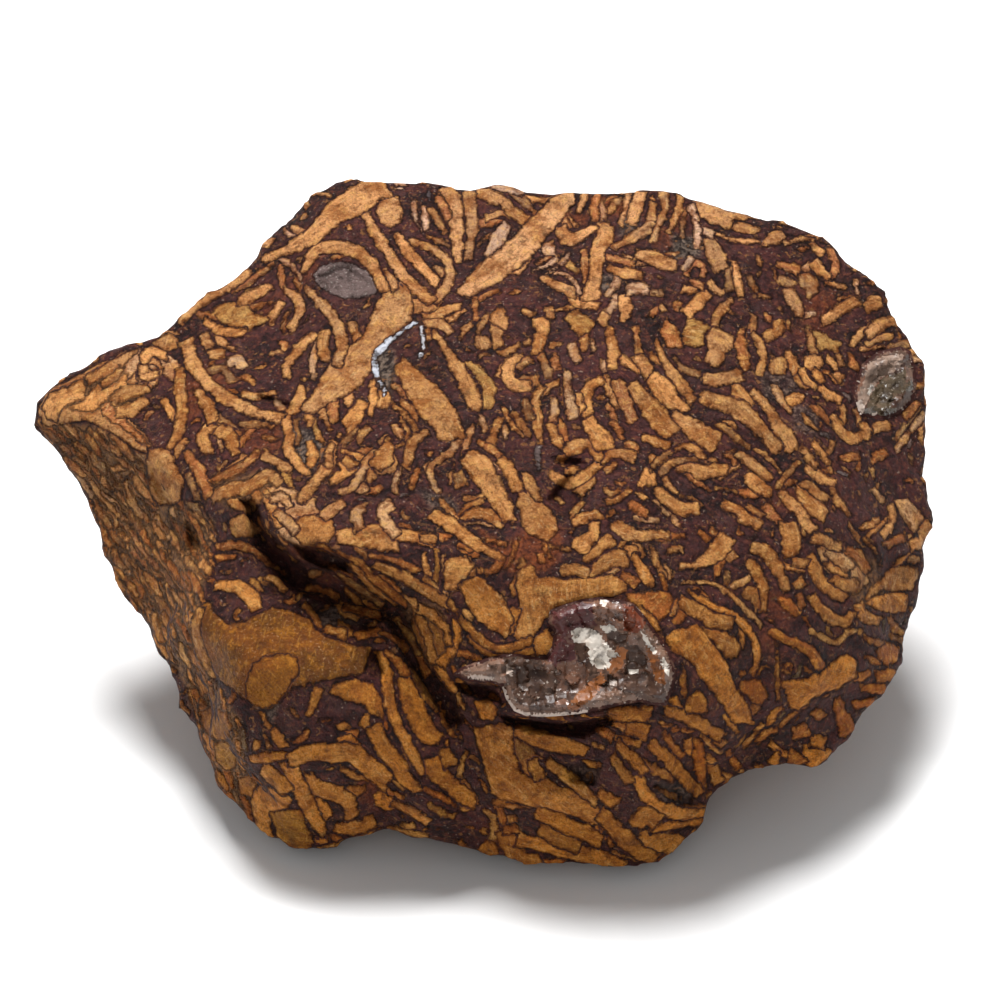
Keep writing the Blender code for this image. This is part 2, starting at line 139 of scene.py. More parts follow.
# The fragments of the seen side come region by region. Each ribbon is its kind, its width along the way and
# the line it follows; each mass is its kind and its outline. Places and widths are in pixels of the picture,
# and what comes first lies over what comes after it.
TOP_LEFT_RIBBONS = [
    ("gold", (20, 24, 20, 13, 8, 6), ((387, 185), (355, 200), (335, 214), (312, 236), (288, 249),
                                      (262, 261))),
    ("gold", (5, 5), ((290, 227), (305, 233))),
    ("gold", (9, 9, 8, 10), ((250, 270), (225, 287), (200, 302), (178, 320))),
    ("rust", (4, 5, 4), ((275, 262), (250, 280), (230, 290))),
    ("gold", (5, 9, 7), ((272, 286), (255, 294), (238, 301))),
    ("gold", (5, 6, 5), ((205, 320), (220, 330), (245, 333))),
    ("pale", (4, 4, 4), ((275, 256), (290, 265), (302, 279))),
    ("gold", (5, 8, 9, 6), ((284, 289), (299, 300), (298, 316), (288, 330))),
    ("gold", (5, 8, 9, 9, 8), ((304, 286), (318, 301), (332, 316), (342, 340), (337, 367))),
    ("gold", (6, 9, 9, 9, 10, 8), ((302, 274), (315, 251), (335, 246), (355, 251), (374, 266), (384, 291))),
    ("gold", (5, 8, 9, 9, 9, 7), ((366, 213), (373, 229), (385, 248), (400, 271), (415, 288), (432, 302))),
    ("gold", (5, 8, 6), ((383, 268), (390, 279), (396, 289))),
    ("gold", (5, 8, 8, 6), ((396, 233), (406, 249), (424, 269), (438, 283))),
    ("gold", (4, 7, 7, 8, 6), ((409, 240), (428, 247), (447, 260), (449, 281), (434, 302))),
    ("gold", (5, 7, 5), ((430, 207), (437, 220), (445, 232))),
    ("rust", (5, 7, 5), ((437, 195), (443, 207), (449, 219))),
    ("white", (1.5, 3, 3, 2, 3, 2), ((416, 321), (396, 336), (382, 348), (375, 361), (379, 380), (385, 391))),
    ("white", (1.5, 2, 2), ((421, 326), (424, 346), (419, 355))),
    ("gold", (14, 24, 36, 22, 20, 30, 32, 14, 7), ((404, 280), (398, 295), (393, 312), (380, 330), (371, 346),
                                                  (354, 364), (340, 379), (320, 398), (306, 411))),
    ("gold", (12, 14, 8), ((405, 306), (425, 305), (440, 298))),
    ("gold", (8, 8, 6), ((420, 314), (440, 311), (462, 306))),
    ("gold", (5, 6, 4), ((350, 322), (357, 338), (358, 353))),
    ("gold", (6, 10, 6), ((326, 330), (323, 345), (326, 361))),
    ("gold", (7, 8, 8, 6), ((313, 333), (299, 349), (288, 365), (286, 377))),
    ("gold", (14, 12, 11, 10, 10, 9, 8), ((186, 339), (190, 356), (200, 374), (212, 388), (230, 400),
                                        (254, 411), (281, 419))),
    ("gold", (8, 8), ((203, 334), (209, 347))),
    ("gold", (5, 9, 9, 8, 3), ((180, 370), (180, 390), (182, 412), (178, 432), (168, 449))),
    ("gold", (7, 10, 9), ((196, 389), (206, 402), (213, 421))),
    ("gold", (6, 10, 13), ((212, 424), (203, 436), (207, 453))),
    ("gold", (8, 12, 10, 6), ((215, 430), (227, 434), (233, 446), (236, 455))),
    ("gold", (6, 8), ((209, 354), (225, 352))),
    ("pale", (4, 11, 5), ((228, 364), (236, 360), (245, 367))),
    ("dull", (4, 6, 6), ((206, 372), (222, 369), (233, 381))),
    ("gold", (4, 6, 4), ((242, 393), (258, 396), (276, 392))),
    ("gold", (4, 10, 12, 5), ((302, 386), (300, 396), (296, 405), (290, 413))),
    ("pale", (5, 7), ((273, 399), (285, 412))),
    ("rust", (6, 9, 8), ((335, 389), (333, 405), (335, 422))),
    ("gold", (8, 14, 10), ((363, 402), (355, 415), (345, 427))),
    ("gold", (4, 5, 4), ((373, 380), (373, 398), (370, 415))),
    ("gold", (5, 6, 4), ((320, 404), (324, 418), (331, 431))),
    ("gold", (10, 9, 9, 7, 4), ((285, 417), (289, 434), (288, 449), (296, 461), (307, 474))),
    ("dull", (4, 6, 4), ((294, 419), (297, 432), (296, 446))),
    ("gold", (9, 8, 5), ((263, 454), (276, 462), (291, 469))),
    ("rust", (5, 8, 8, 3), ((258, 452), (246, 464), (230, 473), (210, 481))),
    ("rust", (5, 8, 9, 7), ((186, 451), (194, 463), (203, 480), (209, 497))),
    ("dull", (4, 5), ((188, 474), (196, 500))),
    ("gold", (10, 20, 28, 28, 20), ((399, 362), (412, 380), (428, 399), (443, 418), (453, 438))),
    ("gold", (6, 9, 7), ((424, 322), (438, 323), (451, 334))),
    ("gold", (5, 8, 8), ((430, 432), (413, 442), (405, 469))),
    ("pale", (5, 6), ((394, 424), (402, 437))),
    ("gold", (5, 8, 5), ((333, 444), (329, 456), (328, 468))),
    ("gold", (7, 8), ((344, 458), (354, 467))),
    ("gold", (6, 8), ((228, 471), (247, 455))),
    ("gold", (9, 12), ((384, 391), (381, 407))),
    ("gold", (8, 8, 5), ((346, 384), (349, 396), (347, 407))),
    ("gold", (4, 9, 6), ((309, 440), (313, 452), (310, 466))),
    ("dull", (3, 5, 3), ((240, 424), (256, 424), (274, 427))),
]
TOP_LEFT_MASSES = [
    ("gold", ((380, 200), (389, 196), (398, 198), (401, 210), (400, 222), (390, 226), (381, 221),
              (377, 211))),
    ("olive", ((214, 309), (225, 303), (247, 305), (252, 313), (270, 320), (250, 330), (235, 328),
               (221, 321))),
    ("grey", ((312, 276), (320, 266), (336, 262), (352, 265), (366, 272), (377, 283), (376, 292), (362, 297),
              (344, 296), (326, 290))),
    ("gold", ((388, 437), (395, 446), (392, 462), (381, 471), (371, 463), (379, 448))),
    ("gold", ((154, 344), (168, 334), (178, 338), (181, 346), (166, 351))),
]
LEFT_TIP_RIBBONS = [
    ("gold", (6, 9, 9), ((142, 361), (152, 352), (167, 355))),
    ("pale", (8, 11, 8), ((163, 356), (172, 366), (169, 378))),
    ("gold", (6, 8, 5), ((143, 366), (144, 376), (157, 374))),
    ("gold", (6, 8, 7), ((112, 402), (126, 393), (149, 388))),
    ("gold", (8, 11, 8), ((117, 413), (134, 409), (147, 399))),
    ("dull", (5, 7, 5), ((122, 368), (114, 378), (101, 385))),
    ("gold", (5, 6, 4), ((214, 481), (232, 474), (247, 466))),
    ("gold", (8, 11, 10, 9, 6), ((211, 499), (228, 490), (250, 486), (268, 474), (279, 483))),
    ("gold", (6, 7, 6), ((229, 488), (233, 502), (250, 511))),
    ("gold", (6, 8, 6), ((252, 487), (257, 498), (249, 509))),
]
LEFT_TIP_MASSES = [
    ("pale", ((141, 372), (152, 366), (160, 372), (156, 384), (146, 392), (138, 384))),
    ("gold", ((43, 408), (50, 394), (70, 385), (82, 379), (86, 388), (84, 400), (70, 404), (58, 412),
              (57, 422), (49, 417))),
    ("gold", ((86, 377), (110, 362), (128, 352), (137, 350), (128, 362), (120, 371), (100, 380), (88, 386))),
    ("gold", ((84, 402), (92, 388), (112, 376), (127, 375), (125, 386), (112, 394), (104, 402), (94, 412),
              (80, 410), (70, 408))),
    ("rust", ((100, 405), (113, 402), (121, 411), (128, 423), (142, 437), (152, 449), (139, 441), (124, 429),
              (111, 420), (105, 414))),
    ("gold", ((149, 449), (170, 449), (176, 470), (184, 484), (179, 502), (158, 504), (149, 488),
              (147, 466))),
    ("gold", ((229, 522), (244, 513), (262, 532), (252, 536), (236, 536))),
    ("pale", ((120, 352), (140, 350), (142, 364), (130, 378), (114, 376), (108, 366))),
    ("gold", ((38, 412), (46, 392), (84, 372), (112, 358), (138, 350), (160, 352), (162, 366), (146, 392),
              (120, 400), (112, 404), (140, 430), (156, 452), (140, 452), (112, 432), (86, 420), (60, 424),
              (46, 426))),
]
TOP_MIDDLE_RIBBONS = [
    ("gold", (8, 20, 22, 21, 18, 10), ((460, 295), (484, 277), (514, 254), (540, 227), (560, 205),
                                       (575, 195))),
    ("gold", (13, 14, 11, 6), ((446, 187), (453, 205), (457, 230), (458, 262))),
    ("gold", (8, 10, 10, 7), ((469, 190), (471, 210), (472, 232), (468, 260))),
    ("gold", (8, 11, 10, 9, 8), ((476, 191), (490, 196), (503, 202), (512, 212), (529, 221))),
    ("pale", (5, 7, 5), ((488, 188), (506, 186), (523, 193))),
    ("dull", (3, 5, 4), ((511, 191), (525, 203), (541, 219))),
    ("gold", (4, 6, 4), ((520, 196), (542, 201), (561, 196))),
    ("gold", (5, 6, 5), ((487, 218), (503, 213), (519, 219))),
    ("pale", (9, 13, 10), ((490, 255), (499, 237), (508, 223))),
    ("dull", (3, 3, 3), ((477, 247), (482, 239), (495, 233))),
    ("gold", (7, 9, 5), ((515, 273), (520, 264), (529, 255))),
    ("pale", (2, 3, 2), ((533, 270), (546, 266), (556, 258))),
    ("pale", (2, 3, 2), ((550, 272), (562, 263), (569, 252))),
    ("gold", (4, 8, 7), ((540, 277), (556, 284), (574, 292))),
    ("pale", (3, 4, 3), ((543, 276), (561, 273), (574, 281), (579, 293))),
    ("pale", (8, 10, 8), ((548, 242), (549, 248), (550, 254))),
    ("gold", (8, 11, 12, 9, 5), ((560, 226), (564, 236), (573, 239), (583, 234), (595, 226))),
    ("gold", (4, 7), ((562, 216), (567, 228))),
    ("gold", (5, 5, 3), ((586, 192), (582, 202), (578, 213))),
    ("rust", (5, 6, 5), ((599, 192), (594, 207), (597, 221))),
    ("gold", (10, 15, 10, 11, 14), ((603, 223), (605, 234), (598, 250), (597, 271), (590, 299))),
    ("gold", (4, 6, 5), ((569, 299), (584, 304), (598, 307))),
    ("rust", (4, 5, 4), ((583, 249), (585, 266), (584, 283))),
    ("gold", (10, 11, 8), ((641, 191), (637, 205), (631, 223))),
    ("gold", (5, 5, 4), ((629, 194), (626, 208), (620, 223))),
    ("gold", (6, 8, 8, 7, 4), ((653, 203), (650, 223), (640, 234), (627, 241), (613, 248))),
    ("gold", (7, 8, 6, 4), ((663, 191), (665, 208), (658, 226), (653, 241))),
    ("gold", (4, 6, 4), ((680, 197), (677, 215), (669, 232))),
    ("pale", (5, 6, 6, 5), ((690, 205), (695, 220), (698, 234), (697, 248))),
    ("dull", (3, 5, 3), ((685, 207), (683, 222), (682, 237))),
    ("gold", (8, 12, 13, 9), ((636, 254), (649, 257), (662, 262), (677, 265))),
    ("gold", (7, 8, 8), ((606, 267), (622, 272), (643, 275))),
    ("pale", (8, 10, 7), ((627, 290), (638, 288), (649, 291))),
    ("dull", (5, 5), ((650, 291), (663, 292))),
    ("gold", (8, 10, 8), ((624, 295), (626, 307), (625, 319))),
    ("pale", (3, 4, 4), ((617, 293), (614, 303), (608, 311))),
    ("gold", (7, 9), ((607, 312), (600, 324))),
    ("gold", (7, 7), ((659, 309), (665, 307))),
    ("gold", (7, 10, 9), ((502, 309), (497, 318), (507, 324))),
    ("gold", (8, 10, 8), ((496, 322), (497, 334), (499, 346))),
    ("dull", (3, 4, 3), ((489, 315), (483, 323), (478, 333))),
    ("gold", (6, 8), ((549, 307), (551, 319))),
    ("gold", (6, 11, 10, 8, 4), ((534, 322), (544, 324), (540, 336), (538, 347), (533, 355))),
    ("gold", (4, 5), ((531, 340), (523, 344))),
    ("gold", (4, 8, 9, 8, 5), ((523, 355), (511, 362), (508, 376), (517, 386), (530, 385))),
    ("gold", (6, 7, 5), ((517, 368), (524, 361), (534, 359))),
    ("dull", (7, 8, 5), ((538, 354), (545, 364), (549, 377))),
    ("rust", (7, 9), ((552, 356), (557, 369))),
    ("dull", (6, 8, 4), ((526, 398), (527, 410), (531, 421))),
    ("gold", (5, 8, 8, 6, 4), ((543, 387), (535, 400), (537, 418), (538, 430), (541, 443))),
    ("grey", (3, 3, 3), ((541, 443), (537, 455), (540, 470))),
    ("pale", (4, 8, 9), ((567, 372), (568, 391), (573, 418))),
    ("gold", (4, 7, 5), ((578, 393), (579, 405), (577, 416))),
    ("gold", (5, 10, 10, 10), ((603, 378), (590, 387), (585, 400), (587, 416))),
    ("gold", (8, 15, 19, 14), ((587, 417), (594, 430), (602, 441), (606, 449))),
    ("gold", (9, 12, 10, 8), ((564, 453), (576, 446), (590, 445), (601, 459))),
    ("gold", (5, 7, 6), ((550, 424), (556, 439), (563, 450))),
    ("gold", (12, 15), ((558, 455), (567, 458))),
    ("gold", (5, 9, 9), ((601, 461), (615, 453), (635, 458))),
    ("gold", (3, 9, 12, 6), ((609, 327), (611, 341), (613, 352), (612, 368))),
    ("pale", (4, 8, 5), ((572, 343), (574, 352), (579, 362))),
    ("gold", (4, 9, 13, 14, 9), ((433, 330), (448, 352), (462, 376), (472, 397), (476, 411))),
    ("olive", (4, 8, 10, 6), ((466, 362), (480, 373), (489, 388), (487, 408))),
    ("pale", (4, 6, 4), ((480, 414), (483, 423), (484, 431))),
    ("rust", (8, 10, 9), ((616, 380), (624, 398), (633, 421))),
    ("gold", (9, 14, 18, 13), ((632, 383), (645, 402), (659, 419), (674, 434))),
    ("gold", (10, 17, 21), ((672, 415), (695, 430), (717, 443))),
    ("gold", (5, 7, 7), ((643, 437), (657, 442), (672, 445))),
    ("gold", (9, 11), ((639, 357), (650, 373))),
    ("gold", (10, 18, 14, 6), ((650, 376), (662, 388), (672, 399), (686, 411))),
    ("gold", (3, 7, 9, 9, 6), ((655, 337), (663, 356), (674, 376), (683, 388), (694, 402))),
    ("dull", (3, 5, 4), ((672, 353), (681, 367), (699, 374))),
    ("rust", (11, 14, 12), ((663, 325), (669, 334), (675, 347))),
]
TOP_MIDDLE_MASSES = [
    ("olive", ((563, 319), (577, 310), (587, 316), (596, 321), (590, 331), (580, 336), (572, 330),
               (568, 324))),
    ("gold", ((475, 336), (485, 335), (492, 344), (486, 350), (477, 347))),
]
TOP_RIGHT_RIBBONS = [
    ("pale", (5, 7), ((700, 229), (714, 234))),
    ("gold", (3, 3, 3, 3), ((715, 232), (728, 239), (744, 241), (761, 241))),
    ("gold", (3, 3, 3), ((784, 243), (800, 239), (815, 240))),
    ("gold", (4, 6), ((811, 242), (822, 253))),
    ("gold", (7, 8, 6), ((814, 261), (821, 271), (829, 279))),
    ("rust", (5, 7, 5), ((830, 248), (836, 264), (831, 278))),
    ("pale", (4, 4), ((803, 271), (812, 263))),
    ("dull", (8, 14, 10), ((804, 274), (809, 283), (814, 295))),
    ("gold", (8, 14, 15, 11), ((708, 238), (713, 250), (718, 260), (722, 270))),
    ("pale", (5, 5), ((684, 269), (691, 257))),
    ("rust", (4, 5, 5, 4), ((687, 275), (690, 264), (701, 264), (704, 276))),
    ("rust", (4, 5), ((690, 281), (703, 286))),
    ("dull", (4, 5, 4), ((728, 267), (728, 278), (731, 292))),
    ("gold", (4, 6, 6, 4), ((734, 260), (737, 274), (738, 285), (741, 296))),
    ("dull", (3, 4, 3), ((749, 275), (757, 293), (773, 298))),
    ("dull", (5, 8, 4), ((779, 278), (785, 281), (793, 285))),
    ("gold", (7, 11, 12, 7), ((787, 288), (792, 299), (797, 307), (798, 317))),
    ("pale", (3, 4), ((799, 316), (816, 312))),
    ("gold", (9, 10, 8), ((857, 300), (840, 310), (823, 321))),
    ("dull", (3, 4, 3), ((837, 299), (848, 297), (858, 299))),
    ("pale", (3, 3), ((856, 279), (858, 295))),
    ("gold", (10, 12, 8), ((882, 302), (874, 303), (866, 308))),
    ("gold", (6, 10, 10, 7), ((901, 321), (887, 323), (876, 328), (867, 335))),
    ("gold", (4, 6, 4), ((894, 335), (881, 338), (867, 344))),
    ("gold", (7, 10, 8), ((777, 320), (779, 330), (765, 338))),
    ("rust", (5, 5), ((765, 317), (772, 319))),
    ("gold", (4, 6, 6, 4), ((752, 333), (760, 343), (764, 357), (759, 373))),
    ("rust", (3, 9, 10, 5), ((743, 327), (741, 343), (743, 355), (747, 369))),
    ("gold", (10, 17, 12), ((777, 358), (778, 366), (779, 374))),
    ("dull", (5, 6), ((767, 368), (773, 355))),
    ("gold", (5, 7, 5), ((802, 370), (807, 381), (817, 388))),
    ("gold", (4, 6), ((814, 371), (823, 382))),
    ("gold", (4, 6, 4), ((827, 357), (832, 363), (836, 371))),
    ("gold", (5, 6), ((835, 372), (842, 379))),
    ("gold", (5, 8, 8, 5), ((818, 385), (828, 394), (836, 398), (842, 400))),
    ("dull", (4, 5), ((838, 355), (841, 366))),
    ("gold", (5, 6, 4), ((795, 376), (802, 384), (812, 388))),
    ("gold", (9, 11, 12, 10), ((705, 378), (715, 380), (727, 378), (742, 374))),
    ("gold", (9, 14, 15, 14, 12, 8), ((701, 396), (718, 401), (737, 409), (752, 420), (766, 436),
                                      (779, 451))),
    ("gold", (4, 7, 11, 15, 12), ((752, 390), (765, 404), (775, 420), (784, 436), (795, 450))),
    ("gold", (6, 12, 12, 6), ((734, 384), (739, 393), (746, 402), (752, 406))),
    ("gold", (8, 12, 7), ((686, 314), (698, 302), (709, 293))),
    ("gold", (6, 9, 9, 6), ((738, 453), (749, 462), (760, 470), (771, 480))),
    ("gold", (7, 13, 12, 9), ((746, 473), (755, 482), (763, 489), (772, 494))),
    ("dull", (4, 6, 4), ((716, 423), (732, 434), (749, 447))),
    ("gold", (6, 8, 9, 9, 6), ((832, 415), (840, 429), (853, 438), (866, 433), (863, 423))),
    ("gold", (7, 9), ((874, 428), (889, 424))),
    ("rust", (8, 9), ((873, 458), (888, 452))),
    ("rust", (10, 8, 4), ((914, 402), (910, 409), (905, 418))),
    ("pale", (3, 4, 3), ((926, 413), (911, 431), (896, 451))),
    ("dull", (3, 3), ((920, 404), (896, 440))),
    ("pale", (5, 6), ((928, 429), (930, 445))),
    ("gold", (4, 5, 4), ((800, 445), (808, 455), (817, 467))),
    ("gold", (4, 6, 4), ((812, 440), (820, 451), (829, 463))),
    ("gold", (4, 6, 5), ((833, 440), (830, 450), (823, 458))),
    ("gold", (5, 8, 6, 4), ((806, 468), (816, 473), (824, 480), (835, 484))),
    ("gold", (4, 5), ((820, 441), (811, 455))),
    ("dull", (4, 5, 3), ((798, 461), (788, 474), (776, 489))),
    ("gold", (3, 6, 7, 5), ((674, 450), (685, 446), (696, 450), (706, 459))),
    ("dull", (3, 4, 3), ((650, 470), (660, 459), (674, 449))),
    ("dull", (3, 5, 4), ((660, 474), (674, 462), (698, 459))),
    ("gold", (4, 10, 11, 11, 7), ((676, 471), (689, 466), (702, 473), (714, 471), (728, 469))),
]
TOP_RIGHT_MASSES = [
    ("gold", ((694, 200), (708, 203), (728, 211), (752, 213), (770, 219), (748, 218), (733, 219), (729, 228),
              (712, 224), (701, 217))),
    ("gold", ((760, 245), (768, 235), (776, 228), (787, 236), (780, 244), (768, 246))),
    ("olive", ((688, 318), (700, 320), (710, 327), (704, 334), (704, 346), (697, 347), (683, 343),
               (686, 328))),
    ("gold", ((712, 328), (722, 331), (734, 337), (732, 347), (725, 352), (723, 364), (713, 368), (704, 362),
              (707, 348), (706, 336))),
    ("olive", ((811, 329), (824, 334), (831, 339), (840, 343), (838, 352), (826, 348), (821, 351), (816, 346),
               (818, 338))),
    ("gold", ((805, 357), (813, 355), (822, 355), (823, 366), (814, 371), (807, 367))),
    ("gold", ((786, 397), (796, 392), (806, 396), (800, 403), (791, 405))),
]
MIDDLE_RIBBONS = [
    ("gold", (14, 22, 17, 14, 10), ((466, 454), (478, 466), (492, 486), (504, 507), (510, 521))),
    ("gold", (8, 10, 9), ((501, 459), (510, 471), (518, 492))),
    ("gold", (5, 8, 5), ((526, 473), (530, 485), (540, 501))),
    ("gold", (9, 18, 26, 24, 14), ((522, 489), (528, 503), (536, 516), (545, 527), (553, 535))),
    ("gold", (5, 10, 11, 6), ((463, 519), (475, 514), (488, 516), (504, 525))),
    ("gold", (9, 12, 10, 8, 4), ((431, 513), (447, 523), (464, 535), (482, 547), (505, 559))),
    ("gold", (6, 8), ((420, 538), (435, 540))),
    ("rust", (5, 7, 5), ((486, 573), (497, 567), (502, 557))),
    ("rust", (6, 8), ((541, 553), (543, 563))),
    ("gold", (16, 27, 28, 22, 12), ((467, 581), (480, 596), (491, 611), (500, 621), (508, 630))),
    ("gold", (9, 10), ((517, 608), (507, 628))),
    ("gold", (4, 6, 6, 5, 5), ((449, 601), (464, 623), (480, 639), (500, 649), (532, 641))),
    ("gold", (3, 6, 7, 6), ((467, 634), (484, 650), (508, 655), (533, 650))),
    ("gold", (5, 9, 8, 7), ((551, 474), (572, 483), (588, 473), (603, 460))),
    ("gold", (12, 10, 6), ((578, 494), (586, 486), (595, 478))),
    ("dull", (3, 5, 4), ((604, 486), (612, 494), (620, 489))),
    ("gold", (5, 10, 6), ((640, 488), (648, 473), (653, 485))),
    ("gold", (6, 10, 11, 10), ((655, 489), (667, 499), (682, 508), (699, 508))),
    ("pale", (3, 4, 3), ((654, 499), (661, 508), (670, 515))),
    ("gold", (6, 8), ((649, 460), (656, 457))),
    ("rust", (6, 8, 7), ((629, 501), (638, 508), (648, 514))),
    ("gold", (6, 9, 8), ((572, 526), (585, 517), (600, 513))),
    ("gold", (7, 9, 14, 10), ((594, 521), (593, 534), (583, 544), (573, 543))),
    ("gold", (5, 8, 12), ((586, 562), (596, 551), (613, 537))),
    ("gold", (8, 10, 8, 6, 4), ((613, 524), (628, 533), (642, 536), (656, 534), (669, 535))),
    ("gold", (11, 10, 8), ((561, 571), (574, 569), (588, 572))),
    ("gold", (10, 11, 14, 13), ((590, 569), (600, 567), (612, 559), (627, 559))),
    ("gold", (4, 8, 10, 6), ((634, 556), (642, 569), (648, 577), (652, 586))),
    ("rust", (5, 7), ((622, 574), (638, 584))),
    ("gold", (6, 9, 14, 14), ((679, 566), (698, 564), (716, 552), (728, 537))),
    ("gold", (8, 7), ((724, 550), (734, 558))),
    ("gold", (5, 6, 5), ((640, 612), (650, 620), (659, 631))),
    ("gold", (8, 12, 13, 9), ((680, 600), (697, 611), (714, 621), (733, 622))),
    ("rust", (5, 7), ((676, 622), (684, 612))),
    ("pale", (3, 3, 4, 3), ((682, 582), (708, 583), (728, 592), (762, 626))),
    ("gold", (3, 4, 6, 6, 6, 3), ((687, 590), (710, 605), (733, 615), (751, 634), (758, 655), (752, 674))),
    ("rust", (4, 5), ((698, 530), (709, 539))),
    ("dull", (4, 4), ((728, 571), (725, 586))),
    ("dull", (4, 6, 4), ((668, 551), (676, 549), (683, 551))),
]
MIDDLE_MASSES = [
    ("gold", ((517, 572), (532, 564), (537, 578), (549, 578), (560, 580), (594, 578), (612, 576), (626, 580),
              (626, 590), (612, 596), (596, 598), (580, 602), (562, 604), (548, 614), (542, 624), (532, 638),
              (520, 644), (516, 636), (519, 600))),
    ("gold", ((444, 560), (464, 556), (472, 566), (467, 576), (458, 586), (452, 592), (444, 588))),
    ("gold", ((548, 628), (554, 640), (549, 656), (538, 656), (531, 648), (534, 640), (540, 634))),
    ("rust", ((627, 595), (648, 592), (670, 592), (674, 598), (668, 612), (661, 620), (652, 616),
              (640, 606))),
    ("gold", ((703, 625), (724, 632), (736, 638), (741, 649), (736, 656), (726, 658), (719, 648),
              (710, 636))),
]
RIGHT_RIBBONS = [
    ("gold", (5, 9, 11, 8), ((722, 502), (736, 510), (748, 520), (761, 526))),
    ("dull", (4, 6), ((747, 505), (761, 517))),
    ("dull", (3, 5, 4), ((714, 488), (727, 489), (738, 493))),
    ("rust", (5, 8, 6), ((736, 492), (747, 493), (757, 499))),
    ("gold", (9, 11, 9, 7), ((752, 548), (765, 551), (777, 567), (787, 592))),
    ("gold", (6, 9, 8, 6), ((748, 560), (757, 573), (764, 590), (763, 612))),
    ("dull", (6, 9, 8), ((744, 597), (754, 592), (761, 611))),
    ("gold", (14, 17, 16, 8), ((787, 522), (790, 534), (791, 545), (790, 556))),
    ("gold", (6, 9, 9, 7), ((781, 491), (792, 504), (804, 519), (814, 531))),
    ("gold", (6, 9, 8), ((803, 482), (815, 492), (828, 501))),
    ("gold", (5, 14, 15, 10), ((798, 485), (806, 497), (816, 507), (827, 516))),
    ("gold", (6, 7), ((793, 561), (806, 565))),
    ("gold", (6, 8), ((795, 586), (804, 580))),
    ("rust", (5, 5), ((799, 594), (804, 606))),
    ("rust", (6, 9, 6), ((779, 598), (788, 604), (797, 613))),
    ("gold", (8, 9, 7), ((812, 538), (826, 541), (840, 548))),
    ("rust", (6, 9, 8), ((845, 550), (857, 556), (869, 571))),
    ("pale", (7, 12, 9), ((827, 551), (840, 559), (851, 569))),
    ("gold", (6, 9, 6), ((829, 562), (838, 570), (848, 574))),
    ("gold", (9, 13, 9), ((833, 577), (845, 583), (857, 587))),
    ("gold", (8, 9, 9, 8, 6), ((812, 596), (821, 609), (836, 620), (848, 621), (853, 611))),
    ("gold", (7, 9, 7), ((858, 604), (864, 616), (880, 621))),
    ("gold", (4, 6, 5), ((891, 505), (893, 521), (883, 537))),
    ("pale", (9, 14, 13), ((901, 499), (909, 511), (919, 525))),
    ("gold", (10, 13, 12, 8), ((920, 524), (928, 531), (924, 541), (911, 547))),
    ("rust", (6, 8), ((885, 546), (905, 536))),
    ("rust", (6, 7, 8, 8), ((769, 631), (788, 640), (808, 649), (823, 668))),
    ("pale", (3, 3, 5, 7), ((811, 630), (828, 640), (840, 642), (851, 629))),
    ("rust", (8, 9), ((877, 676), (896, 675))),
    ("rust", (4, 10, 15, 16), ((838, 698), (840, 712), (845, 724), (849, 733))),
    ("rust", (7, 8), ((854, 706), (875, 701))),
    ("rust", (9, 12), ((793, 734), (808, 729))),
    ("rust", (7, 8), ((814, 711), (822, 719))),
    ("gold", (8, 9), ((811, 740), (825, 743))),
    ("gold", (13, 14), ((772, 757), (779, 760))),
    ("rust", (11, 13), ((789, 757), (800, 765))),
    ("dull", (2, 2), ((777, 642), (778, 700))),
    ("pale", (3, 3, 3), ((763, 724), (753, 736), (743, 747))),
    ("rust", (4, 6, 5), ((728, 751), (733, 760), (738, 769))),
    ("pale", (2, 3, 2), ((735, 769), (748, 774), (762, 770))),
    ("rust", (4, 5), ((840, 458), (859, 456))),
    ("pale", (3, 4), ((873, 490), (884, 500))),
]
RIGHT_MASSES = [
    ("gold", ((807, 560), (812, 553), (820, 564), (826, 580), (842, 589), (849, 596), (844, 602), (832, 600),
              (818, 587), (810, 573))),
    ("gold", ((882, 577), (892, 568), (904, 566), (918, 568), (917, 578), (912, 590), (896, 590), (884, 590),
              (872, 596), (866, 600), (870, 591))),
    ("gold", ((872, 598), (886, 594), (902, 593), (909, 595), (906, 612), (894, 612), (880, 610),
              (867, 603))),
    ("gold", ((666, 638), (672, 632), (684, 629), (697, 624), (703, 632), (716, 648), (726, 662), (733, 680),
              (741, 697), (750, 712), (753, 724), (736, 723), (728, 712), (716, 696), (704, 680), (694, 664),
              (684, 656), (673, 650))),
    ("rust", ((738, 684), (748, 680), (760, 681), (768, 698), (761, 704), (754, 702), (746, 694))),
    ("gold", ((780, 682), (800, 680), (820, 674), (838, 658), (849, 655), (857, 660), (855, 678), (834, 690),
              (812, 698), (798, 711), (790, 706), (786, 692))),
    ("rust", ((876, 651), (890, 642), (900, 648), (898, 661), (886, 665), (879, 657))),
    ("gold", ((806, 746), (820, 748), (832, 752), (824, 762), (812, 770), (804, 764), (804, 754))),
    ("gold", ((686, 700), (699, 692), (708, 704), (706, 713), (688, 713))),
    ("pale", ((826, 540), (846, 546), (862, 560), (868, 582), (854, 594), (838, 580), (824, 566),
              (818, 548))),
]
